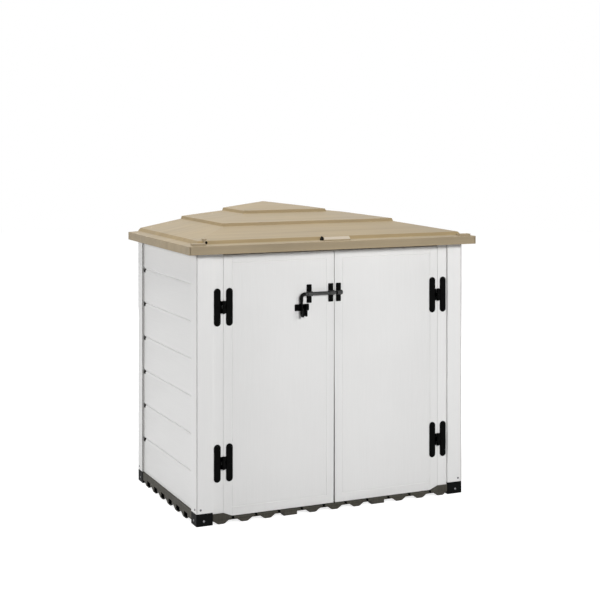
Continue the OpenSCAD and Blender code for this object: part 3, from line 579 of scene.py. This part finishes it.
# FLOOR
# A dark grey-brown moulding that reaches to the posts' outer faces. It steps down under the
# doors, stands on rows of rounded feet, and has drain notches and recesses between them.
floor_skin = resin(
    "dark_floor_resin", (0.058, 0.054, 0.043), 150, "z",
    rough=0.6, relief=0.8, coarse=0.40, shine=0.15,
)
FLOOR_LOW = 12
STEP_X, PAST_X, OVER = 465, 520, CAP_TOP + 12
edge_x, edge_y = SIDE - 2, BACK - MIDDLE - 2
post_x, post_y = SIDE - POST_W - 0.5, edge_y - POST_D + 1.5
front_y, back_y = MIDDLE - edge_y, MIDDLE + edge_y
near_y, far_y = MIDDLE - post_y, MIDDLE + post_y
bm = bmesh.new()
outline = [
    (-post_x, front_y), (post_x, front_y), (post_x, near_y), (edge_x, near_y),
    (edge_x, far_y), (post_x, far_y), (post_x, back_y), (-post_x, back_y),
    (-post_x, far_y), (-edge_x, far_y), (-edge_x, near_y), (-post_x, near_y),
]
prism(bm, outline, FLOOR_LOW, CAP_TOP, "z")
step = [
    (-PAST_X, STEP_TOP), (-STEP_X, STEP_TOP), (STILE_OUT, STEP_LOW), (-STILE_OUT, STEP_LOW),
    (STEP_X, STEP_TOP), (PAST_X, STEP_TOP), (PAST_X, OVER), (-PAST_X, OVER),
]
cutters = bmesh.new()
prism(cutters, step, FRONT - 12, BEHIND + 4, "y")
bm = carve(bm, cutters)
bead(bm, 1.5, 2, 30)

FEET_X, FEET_Y = 11, 6
PITCH_X, PITCH_Y = 95, 93
DRAIN_HALF, DRAIN_DEPTH, DRAIN_LOW, DRAIN_TOP = 5, 34, 12.6, 25
RECESS_HALF, RECESS_DEPTH, RECESS_LOW, RECESS_TOP = 20, 34, 4, 24
RECESS_SHIFT, SIDE_FOOT_SHIFT, SIDE_FOOT_LONGER = -6, 8, 1.33
FOOT_LOW_R, FOOT_TOP_R, FOOT_H, FOOT_ROUND = 13, 30, 12, 4
FLAT_FEET, FLAT_HALF, FEET_TOP = (3, 7), 28, 13
STOP_NEAR, STOP_FAR = 31, 36


def foot_x(i):
    """Where foot i of the front edge stands, from 0 at the left; halves lie between feet."""
    return (i - (FEET_X - 1) / 2) * PITCH_X


def foot_y(j):
    """Where foot j of a side edge would stand in even rows, from 0 at the front."""
    return MIDDLE + (j - (FEET_Y - 1) / 2) * PITCH_Y


def recesses():
    """Drains in the front edge, and deep square recesses over and in the side feet."""
    cutters = bmesh.new()
    for i in range(FEET_X - 1):
        x = foot_x(i + 0.5)
        block(
            cutters, (x - DRAIN_HALF, FRONT - 2, DRAIN_LOW),
            (x + DRAIN_HALF, FRONT + DRAIN_DEPTH, DRAIN_TOP),
        )
    for s in (-1, 1):
        for j in range(FEET_Y):
            y = foot_y(j) + RECESS_SHIFT
            block(
                cutters, (s * edge_x - RECESS_DEPTH, y - RECESS_HALF, RECESS_LOW),
                (s * edge_x + RECESS_DEPTH, y + RECESS_HALF, RECESS_TOP),
            )
    return cutters


def foot(bm, x, y, keep, longer=1):
    """A rounded foot, cut off square where the floor's edge passes through it."""
    old = set(bm.verts)
    place = Matrix.Translation((x / 1000, y / 1000, FOOT_H / 2000))
    bmesh.ops.create_cone(
        bm, cap_ends=True, segments=40, radius1=FOOT_LOW_R / 1000, radius2=FOOT_TOP_R / 1000,
        depth=FOOT_H / 1000, matrix=place @ Matrix.Diagonal((1, longer, 1, 1)),
    )
    fresh = [v for v in bm.verts if v not in old]
    rim = [e for e in bm.edges if e.verts[0] in fresh and all(v.co.z < 0.001 for v in e.verts)]
    bmesh.ops.bevel(
        bm, geom=rim, offset=FOOT_ROUND / 1000, segments=3, profile=0.5,
        affect="EDGES", material=-1,
    )
    fresh = [v for v in bm.verts if v not in old]
    if keep is not None:
        edges = {e for v in fresh for e in v.link_edges}
        faces = {f for v in fresh for f in v.link_faces}
        cut = bmesh.ops.bisect_plane(
            bm, geom=[*fresh, *edges, *faces], plane_co=(x / 1000, y / 1000, 0),
            plane_no=keep, clear_outer=True,
        )
        rim = [g for g in cut["geom_cut"] if isinstance(g, bmesh.types.BMEdge)]
        bmesh.ops.contextual_create(bm, geom=rim)


bm = carve(bm, recesses())
feet = bmesh.new()
for i in range(FEET_X):
    for y, out_y in ((front_y, -1), (back_y, 1)):
        if i in FLAT_FEET:
            ys = sorted((y, y - FOOT_TOP_R * out_y))
            x = foot_x(i)
            block(feet, (x - FLAT_HALF, ys[0], 0), (x + FLAT_HALF, ys[1], FEET_TOP))
        else:
            foot(feet, foot_x(i), y, (0, out_y, 0))
for j in range(FEET_Y):
    for s in (-1, 1):
        foot(feet, s * edge_x, foot_y(j) + SIDE_FOOT_SHIFT, (s, 0, 0), SIDE_FOOT_LONGER)
for i in (1, 3, 5, 7, 9):
    for j in (0.5, 2.5, 4.5):
        foot(feet, foot_x(i), foot_y(j), None)
feet = carve(feet, recesses())
for s in (-1, 1):
    for j in range(FEET_Y):
        xs = sorted((s * (edge_x - STOP_FAR), s * (edge_x - STOP_NEAR)))
        y, half = foot_y(j) + RECESS_SHIFT, RECESS_HALF + 1
        block(feet, (xs[0], y - half, 1), (xs[1], y + half, FEET_TOP))
merge(bm, feet)
# The faces inside the side recesses, on the blocks at their backs and inside the drains get black
# resin, painted shade for these hollows.
for face in bm.faces:
    x, y, z = face.calc_center_median() * 1000
    inside = abs(x) < edge_x - 1 if y > FRONT + 20 else y > FRONT + 3
    in_recess = inside and abs(x) > edge_x - RECESS_DEPTH - 6
    in_drain = FRONT + 3 < y < FRONT + DRAIN_DEPTH + 2 and face.normal.z < 0.5
    if in_recess and RECESS_LOW - 0.1 < z < RECESS_TOP + 0.2:
        face.material_index = 1
    elif in_drain and DRAIN_LOW - 0.1 < z < DRAIN_TOP + 0.2:
        face.material_index = 1
floor = piece("shown_floor_panel", bm, floor_skin, "root", ["floor_panel"])
# Black resin is the foot caps' own colour; in the floor's hollows and in the roof's hole and prism
# it is painted shade.
black_resin_and_painted_shade = resin(
    "black_resin_and_painted_shade", (0.0026, 0.0030, 0.0031), 420, "z",
    rough=0.5, relief=0.3, coarse=0.2, shine=0.035,
)
floor.data.materials.append(black_resin_and_painted_shade)


# FOOT CAPS
# Black caps that the posts stand on, with rounded edges.
CAP_GAP = 0.4
for side, sx in (("left", 1), ("right", -1)):
    for end in ("front", "back"):
        bm = bmesh.new()
        square = [(0, 0), (POST_W, 0), (POST_W, POST_D), (0, POST_D)]
        prism(bm, on_post(square, sx, end), 0, CAP_TOP - CAP_GAP, "z")
        bead(bm, 2.2, 3)
        node = f"foot_cap_{end}_{side}"
        piece(f"shown_{node}", bm, black_resin_and_painted_shade, "root", [node])


# ROOF
# One tan moulding that climbs in three stepped slopes to the middle of the back edge. A rim
# hangs round the walls, and a plain wedge and two tabs stand on its ledge.
ROOF_GRAIN = 26
tan_resin = resin(
    "tan_roof_resin", (0.322, 0.254, 0.157), ROOF_GRAIN, "x",
    rough=0.5, relief=0.15, coarse=0.16, shine=0.4,
)
# A darker, yellower tan for the risers: painted shade, the roof's resin shaded.
shaded_riser_tan = resin(
    "painted_shade_riser_resin", (0.295, 0.222, 0.116), ROOF_GRAIN, "x",
    rough=0.5, relief=0.15, coarse=0.14, shine=0.3,
)
# A paler tan for the wedge's upper faces: painted highlight.
painted_highlight_tan = resin(
    "painted_highlight_tan_resin", (0.44, 0.375, 0.29), ROOF_GRAIN, "x",
    rough=0.5, relief=0.1, coarse=0.05, shine=0.4,
)
RIM_X, RIM_FRONT, RIM_BACK, RIM_WALL = 617, -389, 389, 4
RIM_LOW, RIM_TOP, LEDGE, ROOF_TOP = 1021, 1053, 1056, 1170

# Each level has its height, and how far it lies in from the rim at the sides and in front.
levels = [
    (RIM_LOW, 0, 0), (RIM_TOP, 0, 0), (LEDGE, 42, 42), (1069, 53, 53),
    (1103, 234, 274), (1115, 238, 278), (1134, 424, 529), (1146, 428, 533),
    (ROOF_TOP, RIM_X, RIM_BACK - RIM_FRONT),
]
bm = bmesh.new()
rows = []
for z, side_in, front_in in levels:
    x, y = RIM_X - side_in, RIM_FRONT + front_in
    corners = [(-x, RIM_BACK), (-x, y), (x, y), (x, RIM_BACK)]
    rows.append([bm.verts.new(Vector((u, v, z)) / 1000) for u, v in corners])
for low, high in zip(rows, rows[1:]):
    for k in range(3):
        bm.faces.new([low[k], low[k + 1], high[k + 1], high[k]])
bm.faces.new([row[0] for row in rows] + [row[3] for row in reversed(rows)])
under = []
for z in (RIM_LOW, WALL_TOP):
    x, y0, y1 = RIM_X - RIM_WALL, RIM_FRONT + RIM_WALL, RIM_BACK - RIM_WALL
    corners = [(-x, y1), (-x, y0), (x, y0), (x, y1)]
    under.append([bm.verts.new(Vector((u, v, z)) / 1000) for u, v in corners])
for k in range(4):
    j = (k + 1) % 4
    bm.faces.new([rows[0][k], rows[0][j], under[0][j], under[0][k]])
    bm.faces.new([under[0][k], under[0][j], under[1][j], under[1][k]])
bm.faces.new(under[1])
bmesh.ops.remove_doubles(bm, verts=bm.verts, dist=0.00001)


def on_rim(e):
    """Whether an edge lies on the rim's outer face or ends there."""
    heights = [v.co.z for v in e.verts]
    high_enough = min(heights) > (RIM_LOW - 0.5) / 1000
    low_enough = max(heights) < (RIM_TOP + 1) / 1000
    return high_enough and low_enough and max(abs(v.co.x) for v in e.verts) > (RIM_X - 2.5) / 1000


bead(bm, 1.2, 3, 25, on_rim)
bead(bm, 1.3, 3, 12, lambda e: min(v.co.z for v in e.verts) > (LEDGE - 1.5) / 1000)

TAB_NEAR, TAB_FAR, TAB_FRONT, TAB_BACK, TAB_LOW, TAB_TOP = 18, 68, 12, 38, 1052, 1062
SLIT_NEAR, SLIT_FAR, SLIT_DEPTH, SLIT_TOP = 3.2, 5.0, 3.2, 1051
BUMP = (-546, RIM_FRONT + 44, 1060), (-534, RIM_FRONT + 66, 1077)
HOLE_X, HOLE_Y, HOLE_Z, HOLE_R, HOLE_DEPTH = -534, RIM_FRONT + 62, 1063, 5.5, 45
for s in (-1, 1):
    xs = sorted((s * (RIM_X - TAB_NEAR), s * (RIM_X - TAB_FAR)))
    block(bm, (xs[0], RIM_FRONT + TAB_FRONT, TAB_LOW), (xs[1], RIM_FRONT + TAB_BACK, TAB_TOP))
block(bm, *BUMP)
cutters = bmesh.new()
place = Matrix.Translation((HOLE_X / 1000, HOLE_Y / 1000, HOLE_Z / 1000))
bmesh.ops.create_cone(
    cutters, cap_ends=True, segments=24, radius1=HOLE_R / 1000, radius2=HOLE_R / 1000,
    depth=HOLE_DEPTH / 1000, matrix=place @ Matrix.Rotation(math.radians(90), 4, "X"),
)
for s in (-1, 1):
    xs = sorted((s * (RIM_X - SLIT_NEAR), s * (RIM_X - SLIT_FAR)))
    block(
        cutters, (xs[0], RIM_FRONT - 2, RIM_LOW - 2), (xs[1], RIM_FRONT + SLIT_DEPTH, SLIT_TOP),
    )
bm = carve(bm, cutters)
# The sloped riser faces take the darker tan, painted shade.
for face in bm.faces:
    if 0.2 < face.normal.z < 0.8 and face.calc_center_median().z > (LEDGE + 1.5) / 1000:
        face.material_index = 3

# The wedge lies on the ledge against the first riser, its ends cut askew, its upper faces painted
# paler as a highlight.
# Beside its left end stands a black prism, painted shade for the shaded hollow there.
WEDGE_LOW = 1047
WEDGE_EDGES = ((-58, 55, RIM_FRONT + 16, 1059), (-49.5, 62, RIM_FRONT + 44, 1068.5))
SHADE_PRISM = [(-65.5, 1050), (-51.5, 1050), (-51.5, 1056), (-58.5, 1071), (-65.5, 1056)]
SHADE_PRISM_FRONT, SHADE_PRISM_BACK = RIM_FRONT + 33, RIM_FRONT + 46
wedge = bmesh.new()
for x0, x1, y, z in WEDGE_EDGES:
    for x in (x0, x1):
        for height in (WEDGE_LOW, z):
            wedge.verts.new(Vector((x, y, height)) / 1000)
bmesh.ops.convex_hull(wedge, input=wedge.verts)
bmesh.ops.dissolve_limit(wedge, angle_limit=0.01, verts=wedge.verts, edges=wedge.edges)
bead(wedge, 0.8, 2, 30)
bmesh.ops.recalc_face_normals(wedge, faces=wedge.faces)
# The wedge's upper faces take the paler tan, a painted highlight.
for face in wedge.faces:
    if face.normal.z > 0.5 and face.calc_center_median().z > (LEDGE + 4) / 1000:
        face.material_index = 1
old = set(wedge.faces)
prism(wedge, SHADE_PRISM, SHADE_PRISM_FRONT, SHADE_PRISM_BACK, "y")
# The prism is all black, painted shade.
for face in wedge.faces:
    if face not in old:
        face.material_index = 2
merge(bm, wedge)
# The inside of the hole beside the tab is painted black, as painted shade.
hole_mouth, hole_bottom = RIM_FRONT + 50, -300
for face in bm.faces:
    x, y, z = face.calc_center_median() * 1000
    beside_hole = max(abs(x - HOLE_X), abs(z - HOLE_Z)) < HOLE_R + 1.5
    if beside_hole and hole_mouth < y < hole_bottom:
        face.material_index = 2
roof = piece("shown_roof", bm, tan_resin, "root", ["roof"])
roof.data.materials.append(painted_highlight_tan)
roof.data.materials.append(black_resin_and_painted_shade)
roof.data.materials.append(shaded_riser_tan)


# BLACK FITTINGS
# Hinges and bolt are steel with a satin black powder coat, slightly pebbled.
def powder_coat(name, shine, low, high):
    """Black coat over steel: pebbled skin, uneven gloss between the two roughness values."""
    coat = bpy.data.materials.new(name)
    coat.use_nodes = True
    n, link = coat.node_tree.nodes, coat.node_tree.links
    shader = n["Principled BSDF"]
    shader.inputs["Metallic"].default_value = 0.0
    shader.inputs["Specular IOR Level"].default_value = shine
    place = n.new("ShaderNodeTexCoord")
    pebbles = n.new("ShaderNodeTexNoise")
    pebbles.inputs["Scale"].default_value = 1400
    pebbles.inputs["Detail"].default_value = 2
    link.new(place.outputs["Object"], pebbles.inputs["Vector"])
    patches = n.new("ShaderNodeTexNoise")
    patches.inputs["Scale"].default_value = 55
    patches.inputs["Detail"].default_value = 4
    link.new(place.outputs["Object"], patches.inputs["Vector"])
    tint = n.new("ShaderNodeValToRGB")
    tint.color_ramp.elements[0].color = (0.0010, 0.0011, 0.0011, 1)
    tint.color_ramp.elements[1].color = (0.0028, 0.0029, 0.0028, 1)
    link.new(patches.outputs["Fac"], tint.inputs["Fac"])
    link.new(tint.outputs["Color"], shader.inputs["Base Color"])
    gloss = n.new("ShaderNodeMapRange")
    gloss.inputs["To Min"].default_value = low
    gloss.inputs["To Max"].default_value = high
    link.new(patches.outputs["Fac"], gloss.inputs["Value"])
    link.new(gloss.outputs["Result"], shader.inputs["Roughness"])
    rough_skin = n.new("ShaderNodeBump")
    rough_skin.inputs["Strength"].default_value = 0.25
    rough_skin.inputs["Distance"].default_value = 0.0001
    link.new(pebbles.outputs["Fac"], rough_skin.inputs["Height"])
    link.new(rough_skin.outputs["Normal"], shader.inputs["Normal"])
    return coat


black_coat = powder_coat("black_powder_coat", 0.022, 0.40, 0.56)
bolt_coat = powder_coat("black_bolt_coat", 0.50, 0.18, 0.28)


def rounded(width, height, radius, at, steps):
    """Outline of a rounded rectangle round a point, with that many steps to a corner."""
    points = []
    for cx, cy, start in ((1, 1, 0), (-1, 1, 90), (-1, -1, 180), (1, -1, 270)):
        for k in range(steps + 1):
            turn = math.radians(start + 90 * k / steps)
            points.append((
                at[0] + cx * (width / 2 - radius) + radius * math.cos(turn),
                at[1] + cy * (height / 2 - radius) + radius * math.sin(turn),
            ))
    return points


def rod(bm, start, end, radius, tip=None, segments=40):
    """A round bar between two points in millimetres, with its far end drawn in to tip."""
    start, end = Vector(start) / 1000, Vector(end) / 1000
    turn = (end - start).to_track_quat("Z", "Y").to_matrix().to_4x4()
    place = Matrix.Translation((start + end) / 2) @ turn
    bmesh.ops.create_cone(
        bm, cap_ends=True, segments=segments, radius1=radius / 1000,
        radius2=(radius if tip is None else tip) / 1000, depth=(end - start).length, matrix=place,
    )


# HINGES
# Four H-shaped hinges: two long leaves with round ends, drilled for three screws each, and a
# short barrel of three knuckles on a headed pin.
PIN_X, PIN_Y = 465, FACE - 6.5
PIN_R, PIN_HEAD_R, PIN_HEAD_END_R, PIN_HEAD_H = 3, 4.6, 4.0, 1
HINGE_LEVELS = {"upper": 816.5, "lower": 228.5}
PLATE = FACE - 2.5
LEAF_X, LEAF_W, LEAF_H, LEAF_ROUND = 24.5, 27, 143, 13.45
SCREW_ROWS, SCREW_R = (-58.6, 0, 58.6), 2.1
ARM_NEAR, ARM_BESIDE, ARM_FAR = 2, 5.7, 13
BARREL, BARREL_R, DOOR_KNUCKLE, JAMB_KNUCKLE = 23.5, 6, 7.8, 8.2


def screw_hole(bm, x, z):
    """The cutter of a screw's hole through a plate on the doors' face."""
    rod(bm, (x, PLATE - 2, z), (x, FACE + 1, z), SCREW_R, segments=20)


def on_barrel(e):
    """Whether an edge is a short one at a knuckle's end, with the pin at x = 0."""
    return e.calc_length() < 0.0016 and max(abs(v.co.x) for v in e.verts) < 0.0065


def leaf(sx, z, on_door):
    """Leaf beside the pin: outward from it on the door, inward on the jamb, mirrored by sx."""
    bm = bmesh.new()
    u = 1 if on_door else -1
    plate = rounded(LEAF_W, LEAF_H, LEAF_ROUND, (u * LEAF_X, z), 10)
    prism(bm, plate, PLATE, FACE, "y")
    bead(bm, 0.7, 2, 50)
    holes = bmesh.new()
    for dz in SCREW_ROWS:
        screw_hole(holes, u * LEAF_X, z + dz)
    bm = carve(bm, holes)
    near, far = sorted((u * ARM_BESIDE, u * ARM_FAR))
    block(bm, (near, PLATE, z - BARREL), (far, FACE, z + BARREL))
    near, far = sorted((u * ARM_NEAR, u * ARM_FAR))
    spans = [(-BARREL, -JAMB_KNUCKLE), (JAMB_KNUCKLE, BARREL)]
    if on_door:
        spans = [(-DOOR_KNUCKLE, DOOR_KNUCKLE)]
    for low, high in spans:
        block(bm, (near, PLATE, z + low), (far, FACE, z + high))
        rod(bm, (0, PIN_Y, z + low), (0, PIN_Y, z + high), BARREL_R, segments=32)
    bead(bm, 0.5, 2, 70, on_barrel)
    bmesh.ops.translate(bm, verts=bm.verts, vec=(-PIN_X / 1000, 0, 0))
    if sx < 0:
        bmesh.ops.scale(bm, verts=bm.verts, vec=(-1, 1, 1))
    return bm


for side, sx in (("left", 1), ("right", -1)):
    for level, z in HINGE_LEVELS.items():
        node = f"jamb_leaf_{level}_{side}"
        piece(f"shown_{node}", leaf(sx, z, False), black_coat, "root", [node])
        node, body = f"door_leaf_{level}_{side}", f"{side}_door"
        piece(f"shown_{node}", leaf(sx, z, True), black_coat, body, [node])

bm = bmesh.new()
pin_end = BARREL + PIN_HEAD_H
for x in (-PIN_X, PIN_X):
    for z in HINGE_LEVELS.values():
        rod(bm, (x, PIN_Y, z - pin_end), (x, PIN_Y, z + pin_end), PIN_R, segments=24)
        for s in (1, -1):
            inner, outer = (x, PIN_Y, z + s * BARREL), (x, PIN_Y, z + s * pin_end)
            rod(bm, inner, outer, PIN_HEAD_R, PIN_HEAD_END_R, segments=24)
piece("shown_hinge_pins", bm, black_coat, "root", ["hinge_pins"])


# SCREWS
# Low pan heads with a cross recess. Those of hinges and bolt are black, those through the
# posts dull grey, and those in the foot caps bright.
HEAD_PROFILE = [
    (0.0, -1.6), (2.0, -1.55), (3.2, -1.25), (3.95, -0.7), (4.2, -0.15), (4.2, 0.4), (0.0, 0.4),
]
CROSS_REACH, CROSS_HALF = 2.1, 0.45
CROSS_TOP, CROSS_FLOOR = -3, -0.7


def screw_head():
    """One head at the origin, its axis along Y and its top towards -Y."""
    bm = bmesh.new()
    verts = [bm.verts.new((r / 1000, y / 1000, 0)) for r, y in HEAD_PROFILE]
    edges = [bm.edges.new(pair) for pair in zip(verts, verts[1:])]
    bmesh.ops.spin(
        bm, geom=verts + edges, cent=(0, 0, 0), axis=(0, 1, 0), angle=math.tau, steps=24,
        use_merge=True,
    )
    bmesh.ops.remove_doubles(bm, verts=bm.verts, dist=0.00001)
    cross = bmesh.new()
    for reach, half, floor_y in (
        (CROSS_REACH, CROSS_HALF, CROSS_FLOOR), (CROSS_HALF, CROSS_REACH, CROSS_FLOOR - 0.01),
    ):
        block(cross, (-reach, CROSS_TOP, -half), (reach, floor_y, half))
    bm = carve(bm, cross)
    mesh = bpy.data.meshes.new("screw_head")
    bm.to_mesh(mesh)
    bm.free()
    return mesh


head = screw_head()


def screws(places):
    """Heads at (x, y, z, turn about Z in degrees), in millimetres, each turned on its axis."""
    bm = bmesh.new()
    for number, (x, y, z, turn) in enumerate(places):
        old = len(bm.verts)
        bm.from_mesh(head)
        bm.verts.ensure_lookup_table()
        place = Matrix.Translation(Vector((x, y, z)) / 1000)
        facing = Matrix.Rotation(math.radians(turn), 4, "Z")
        spin = Matrix.Rotation(math.radians(37 * number), 4, "Y")
        bmesh.ops.transform(bm, verts=bm.verts[old:], matrix=place @ facing @ spin)
    return bm


ROD_Z, LOCK_PLATE_X, LOCK_PLATE_Z = 849.5, -140, 797.5
OUTER_STRAP, INNER_STRAP, KEEPER = -109, -16, 17.5
STRAP_SCREWS, LOCK_SCREWS = (-26, 26), (-23, 23)
hinge_rows = [z + dz for z in HINGE_LEVELS.values() for dz in SCREW_ROWS]
jamb_places = [(s * (PIN_X + LEAF_X), PLATE, z, 0) for s in (-1, 1) for z in hinge_rows]
left_places = [(LEAF_X - PIN_X, PLATE, z, 0) for z in hinge_rows]
for x in (OUTER_STRAP, INNER_STRAP):
    left_places += [(x, PLATE, ROD_Z + dz, 0) for dz in STRAP_SCREWS]
left_places += [(LOCK_PLATE_X + dx, PLATE, LOCK_PLATE_Z, 0) for dx in LOCK_SCREWS]
right_places = [(PIN_X - LEAF_X, PLATE, z, 0) for z in hinge_rows]
right_places += [(KEEPER, PLATE, ROD_Z + dz, 0) for dz in STRAP_SCREWS]
for node, places, body in (
    ("jamb_screws", jamb_places, "root"),
    ("left_door_screws", left_places, "left_door"),
    ("right_door_screws", right_places, "right_door"),
):
    piece(f"shown_{node}", screws(places), black_coat, body, [node])


def metal(name, colour, rough):
    """Bare metal with fine scratches and slightly uneven gloss."""
    skin = bpy.data.materials.new(name)
    skin.use_nodes = True
    n, link = skin.node_tree.nodes, skin.node_tree.links
    shader = n["Principled BSDF"]
    shader.inputs["Metallic"].default_value = 1.0
    place = n.new("ShaderNodeTexCoord")
    marks = n.new("ShaderNodeTexNoise")
    marks.inputs["Scale"].default_value = 900
    marks.inputs["Detail"].default_value = 4
    link.new(place.outputs["Object"], marks.inputs["Vector"])
    tint = n.new("ShaderNodeValToRGB")
    tint.color_ramp.elements[0].color = (*[c * 0.75 for c in colour], 1)
    tint.color_ramp.elements[1].color = (*colour, 1)
    link.new(marks.outputs["Fac"], tint.inputs["Fac"])
    link.new(tint.outputs["Color"], shader.inputs["Base Color"])
    gloss = n.new("ShaderNodeMapRange")
    gloss.inputs["To Min"].default_value = rough - 0.08
    gloss.inputs["To Max"].default_value = rough + 0.12
    link.new(marks.outputs["Fac"], gloss.inputs["Value"])
    link.new(gloss.outputs["Result"], shader.inputs["Roughness"])
    scratches = n.new("ShaderNodeBump")
    scratches.inputs["Strength"].default_value = 0.15
    scratches.inputs["Distance"].default_value = 0.0001
    link.new(marks.outputs["Fac"], scratches.inputs["Height"])
    link.new(scratches.outputs["Normal"], shader.inputs["Normal"])
    return skin


def four_corners(inset, z):
    """A front and a side place on each of the four posts."""
    places = []
    for sx in (-1, 1):
        for y, sy in ((FRONT, -1), (BACK, 1)):
            places.append((sx * (SIDE - inset), y, z, 0 if sy < 0 else 180))
            places.append((sx * SIDE, y - sy * inset, z, -90 if sx < 0 else 90))
    return places


dull_zinc = metal("dull_grey_metal", (0.16, 0.16, 0.17), 0.45)
bright_steel = metal("bright_steel", (0.22, 0.22, 0.23), 0.42)
post_heads, foot_heads = screws(four_corners(17, 62)), screws(four_corners(30, 19))
piece("shown_post_screws", post_heads, dull_zinc, "root", ["post_screws"])
piece("shown_foot_screws", foot_heads, bright_steel, "root", ["foot_screws"])


# BOLT
# A round black bar slides in two straps on the left door into a keeper on the right one. Its
# end is bent down and flattened, with an eye that meets the plate's ear for a padlock.
ROD_Y, BAR_R, BORE_R = FACE - 9, 6.8, 7.1
STRAP_HALF, STRAP_H, ARCH_R, SLEEVE_R = 10.5, 72, 9.6, 8.5
STRAP_PAST = STRAP_HALF + 1.5


def on_bar(x):
    """The point of the bar's axis at x."""
    return (x, ROD_Y, ROD_Z)


def strap(x, sleeve):
    """Flat plate with an arch over the bar; the keeper's arch goes on as a closed sleeve."""
    bm = bmesh.new()
    prism(bm, rounded(2 * STRAP_HALF, STRAP_H, 3, (x, ROD_Z), 5), PLATE, FACE, "y")
    bead(bm, 0.6, 2, 50)
    holes = bmesh.new()
    for dz in STRAP_SCREWS:
        screw_hole(holes, x, ROD_Z + dz)
    rod(holes, on_bar(x - STRAP_PAST), on_bar(x + STRAP_PAST), BORE_R)
    bm = carve(bm, holes)
    arch = bmesh.new()
    turns = [math.pi * k / 20 for k in range(21)]
    curve = [(ROD_Y - ARCH_R * math.sin(t), ROD_Z + ARCH_R * math.cos(t)) for t in turns]
    sunk = FACE - 0.2
    outline = [(sunk, ROD_Z + ARCH_R), *curve, (sunk, ROD_Z - ARCH_R)]
    prism(arch, outline, x - STRAP_HALF, x + STRAP_HALF, "x")
    bead(arch, 0.8, 2, 60)
    if sleeve:
        rod(arch, on_bar(x + 9), on_bar(x + STRAP_PAST), SLEEVE_R)
    bore = bmesh.new()
    rod(bore, on_bar(x - STRAP_PAST), on_bar(x + (STRAP_HALF if sleeve else STRAP_PAST)), BORE_R)
    arch = carve(arch, bore)
    for face in arch.faces:
        face.material_index = 1
    merge(bm, arch)
    return bm


for node, x, sleeve, body in (
    ("outer_strap", OUTER_STRAP, False, "left_door"),
    ("inner_strap", INNER_STRAP, False, "left_door"),
    ("keeper", KEEPER, True, "right_door"),
):
    arched = piece(f"shown_{node}", strap(x, sleeve), black_coat, body, [node])
    arched.data.materials.append(bolt_coat)

EYE_Y, EYE_Z, EYE_R = FACE - 16.5, 777.5, 4.5
EAR_NEAR, EAR_FAR, EAR_Y, EAR_Z = -131.5, -126.5, FACE - 12.5, 787
bm = bmesh.new()
prism(bm, rounded(60, 26, 3, (LOCK_PLATE_X, LOCK_PLATE_Z), 5), PLATE, FACE, "y")
prism(bm, rounded(25, 47, 5, (EAR_Y, EAR_Z), 6), EAR_NEAR, EAR_FAR, "x")
bead(bm, 0.6, 2, 50)
holes = bmesh.new()
for dx in LOCK_SCREWS:
    screw_hole(holes, LOCK_PLATE_X + dx, LOCK_PLATE_Z)
rod(
    holes, (EAR_NEAR - 2.5, EYE_Y, EYE_Z), (EAR_FAR + 2.5, EYE_Y, EYE_Z), EYE_R, segments=28,
)
bm = carve(bm, holes)
piece("shown_padlock_plate", bm, black_coat, "left_door", ["padlock_plate"])

TAIL_X, BEND = -145, 15
SEAM_AT, TIP_FROM, TIP_AT, TIP_R = TAIL_X + BEND + 0.2, 1.5, 3, 5.3
SPIGOT_END, SPIGOT_R = TAIL_X + BEND - 5.3, 4
bm = bmesh.new()
rod(bm, on_bar(SEAM_AT), on_bar(TIP_FROM), BAR_R)
rod(bm, on_bar(TIP_FROM), on_bar(TIP_AT), BAR_R, TIP_R)
rod(bm, on_bar(SPIGOT_END), on_bar(SEAM_AT), SPIGOT_R)
piece("shown_bolt_rod", bm, bolt_coat, "bolt", ["bolt_rod"])

# The tail is drawn out from the bar's round section: down the bend, then in stages that each
# have their drop, width, depth and shift towards the door's front, growing flatter.
TAIL_STAGES = (
    (0.012, 1, 1, 0), (0.010, 0.43, 1.35, -0.0008), (0.022, 0.43, 1.62, -0.0016),
)
bm = bmesh.new()
elbow = Vector(on_bar(TAIL_X + BEND)) / 1000
across_bar = Matrix.Translation(elbow) @ Matrix.Rotation(math.radians(90), 4, "Y")
ring = bmesh.ops.create_circle(bm, radius=BAR_R / 1000, segments=40, matrix=across_bar)["verts"]
edges = list({e for v in ring for e in v.link_edges})
bmesh.ops.contextual_create(bm, geom=edges)
bend = bmesh.ops.spin(
    bm, geom=ring + edges, cent=elbow - Vector((0, 0, BEND / 1000)), axis=(0, 1, 0),
    angle=math.radians(-90), steps=10,
)["geom_last"]
edges = [g for g in bend if isinstance(g, bmesh.types.BMEdge)]
for drop, thin, deep, shift in TAIL_STAGES:
    grown = bmesh.ops.extrude_edge_only(bm, edges=edges)["geom"]
    ring = [g for g in grown if isinstance(g, bmesh.types.BMVert)]
    edges = [g for g in grown if isinstance(g, bmesh.types.BMEdge)]
    bmesh.ops.translate(bm, verts=ring, vec=(0, 0, -drop))
    middle = Vector((TAIL_X / 1000, ROD_Y / 1000, ring[0].co.z))
    radius = BAR_R / 1000
    for v in ring:
        way = (v.co - middle).normalized()
        v.co = middle + Vector((way.x * radius * thin, way.y * radius * deep + shift, 0))
bmesh.ops.contextual_create(bm, geom=edges)

FLAT_Y, FLAT_Z, FLAT_HALF_T = FACE - 16.1, 779.5, 3
flat = bmesh.new()
flat_outline = rounded(25, 36, 8, (FLAT_Y, FLAT_Z), 8)
prism(flat, flat_outline, TAIL_X - FLAT_HALF_T, TAIL_X + FLAT_HALF_T, "x")
bead(flat, 1.2, 3, 50)
eye = bmesh.new()
rod(eye, (TAIL_X - 7, EYE_Y, EYE_Z), (TAIL_X + 7, EYE_Y, EYE_Z), EYE_R, segments=28)
merge(bm, carve(flat, eye))
tail_coat = powder_coat("black_tail_coat", 0.05, 0.3, 0.42)
piece("shown_bolt_tail", bm, tail_coat, "bolt_handle", ["bolt_tail"])


# SIZES
# The box round the visible model is found.
low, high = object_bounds()
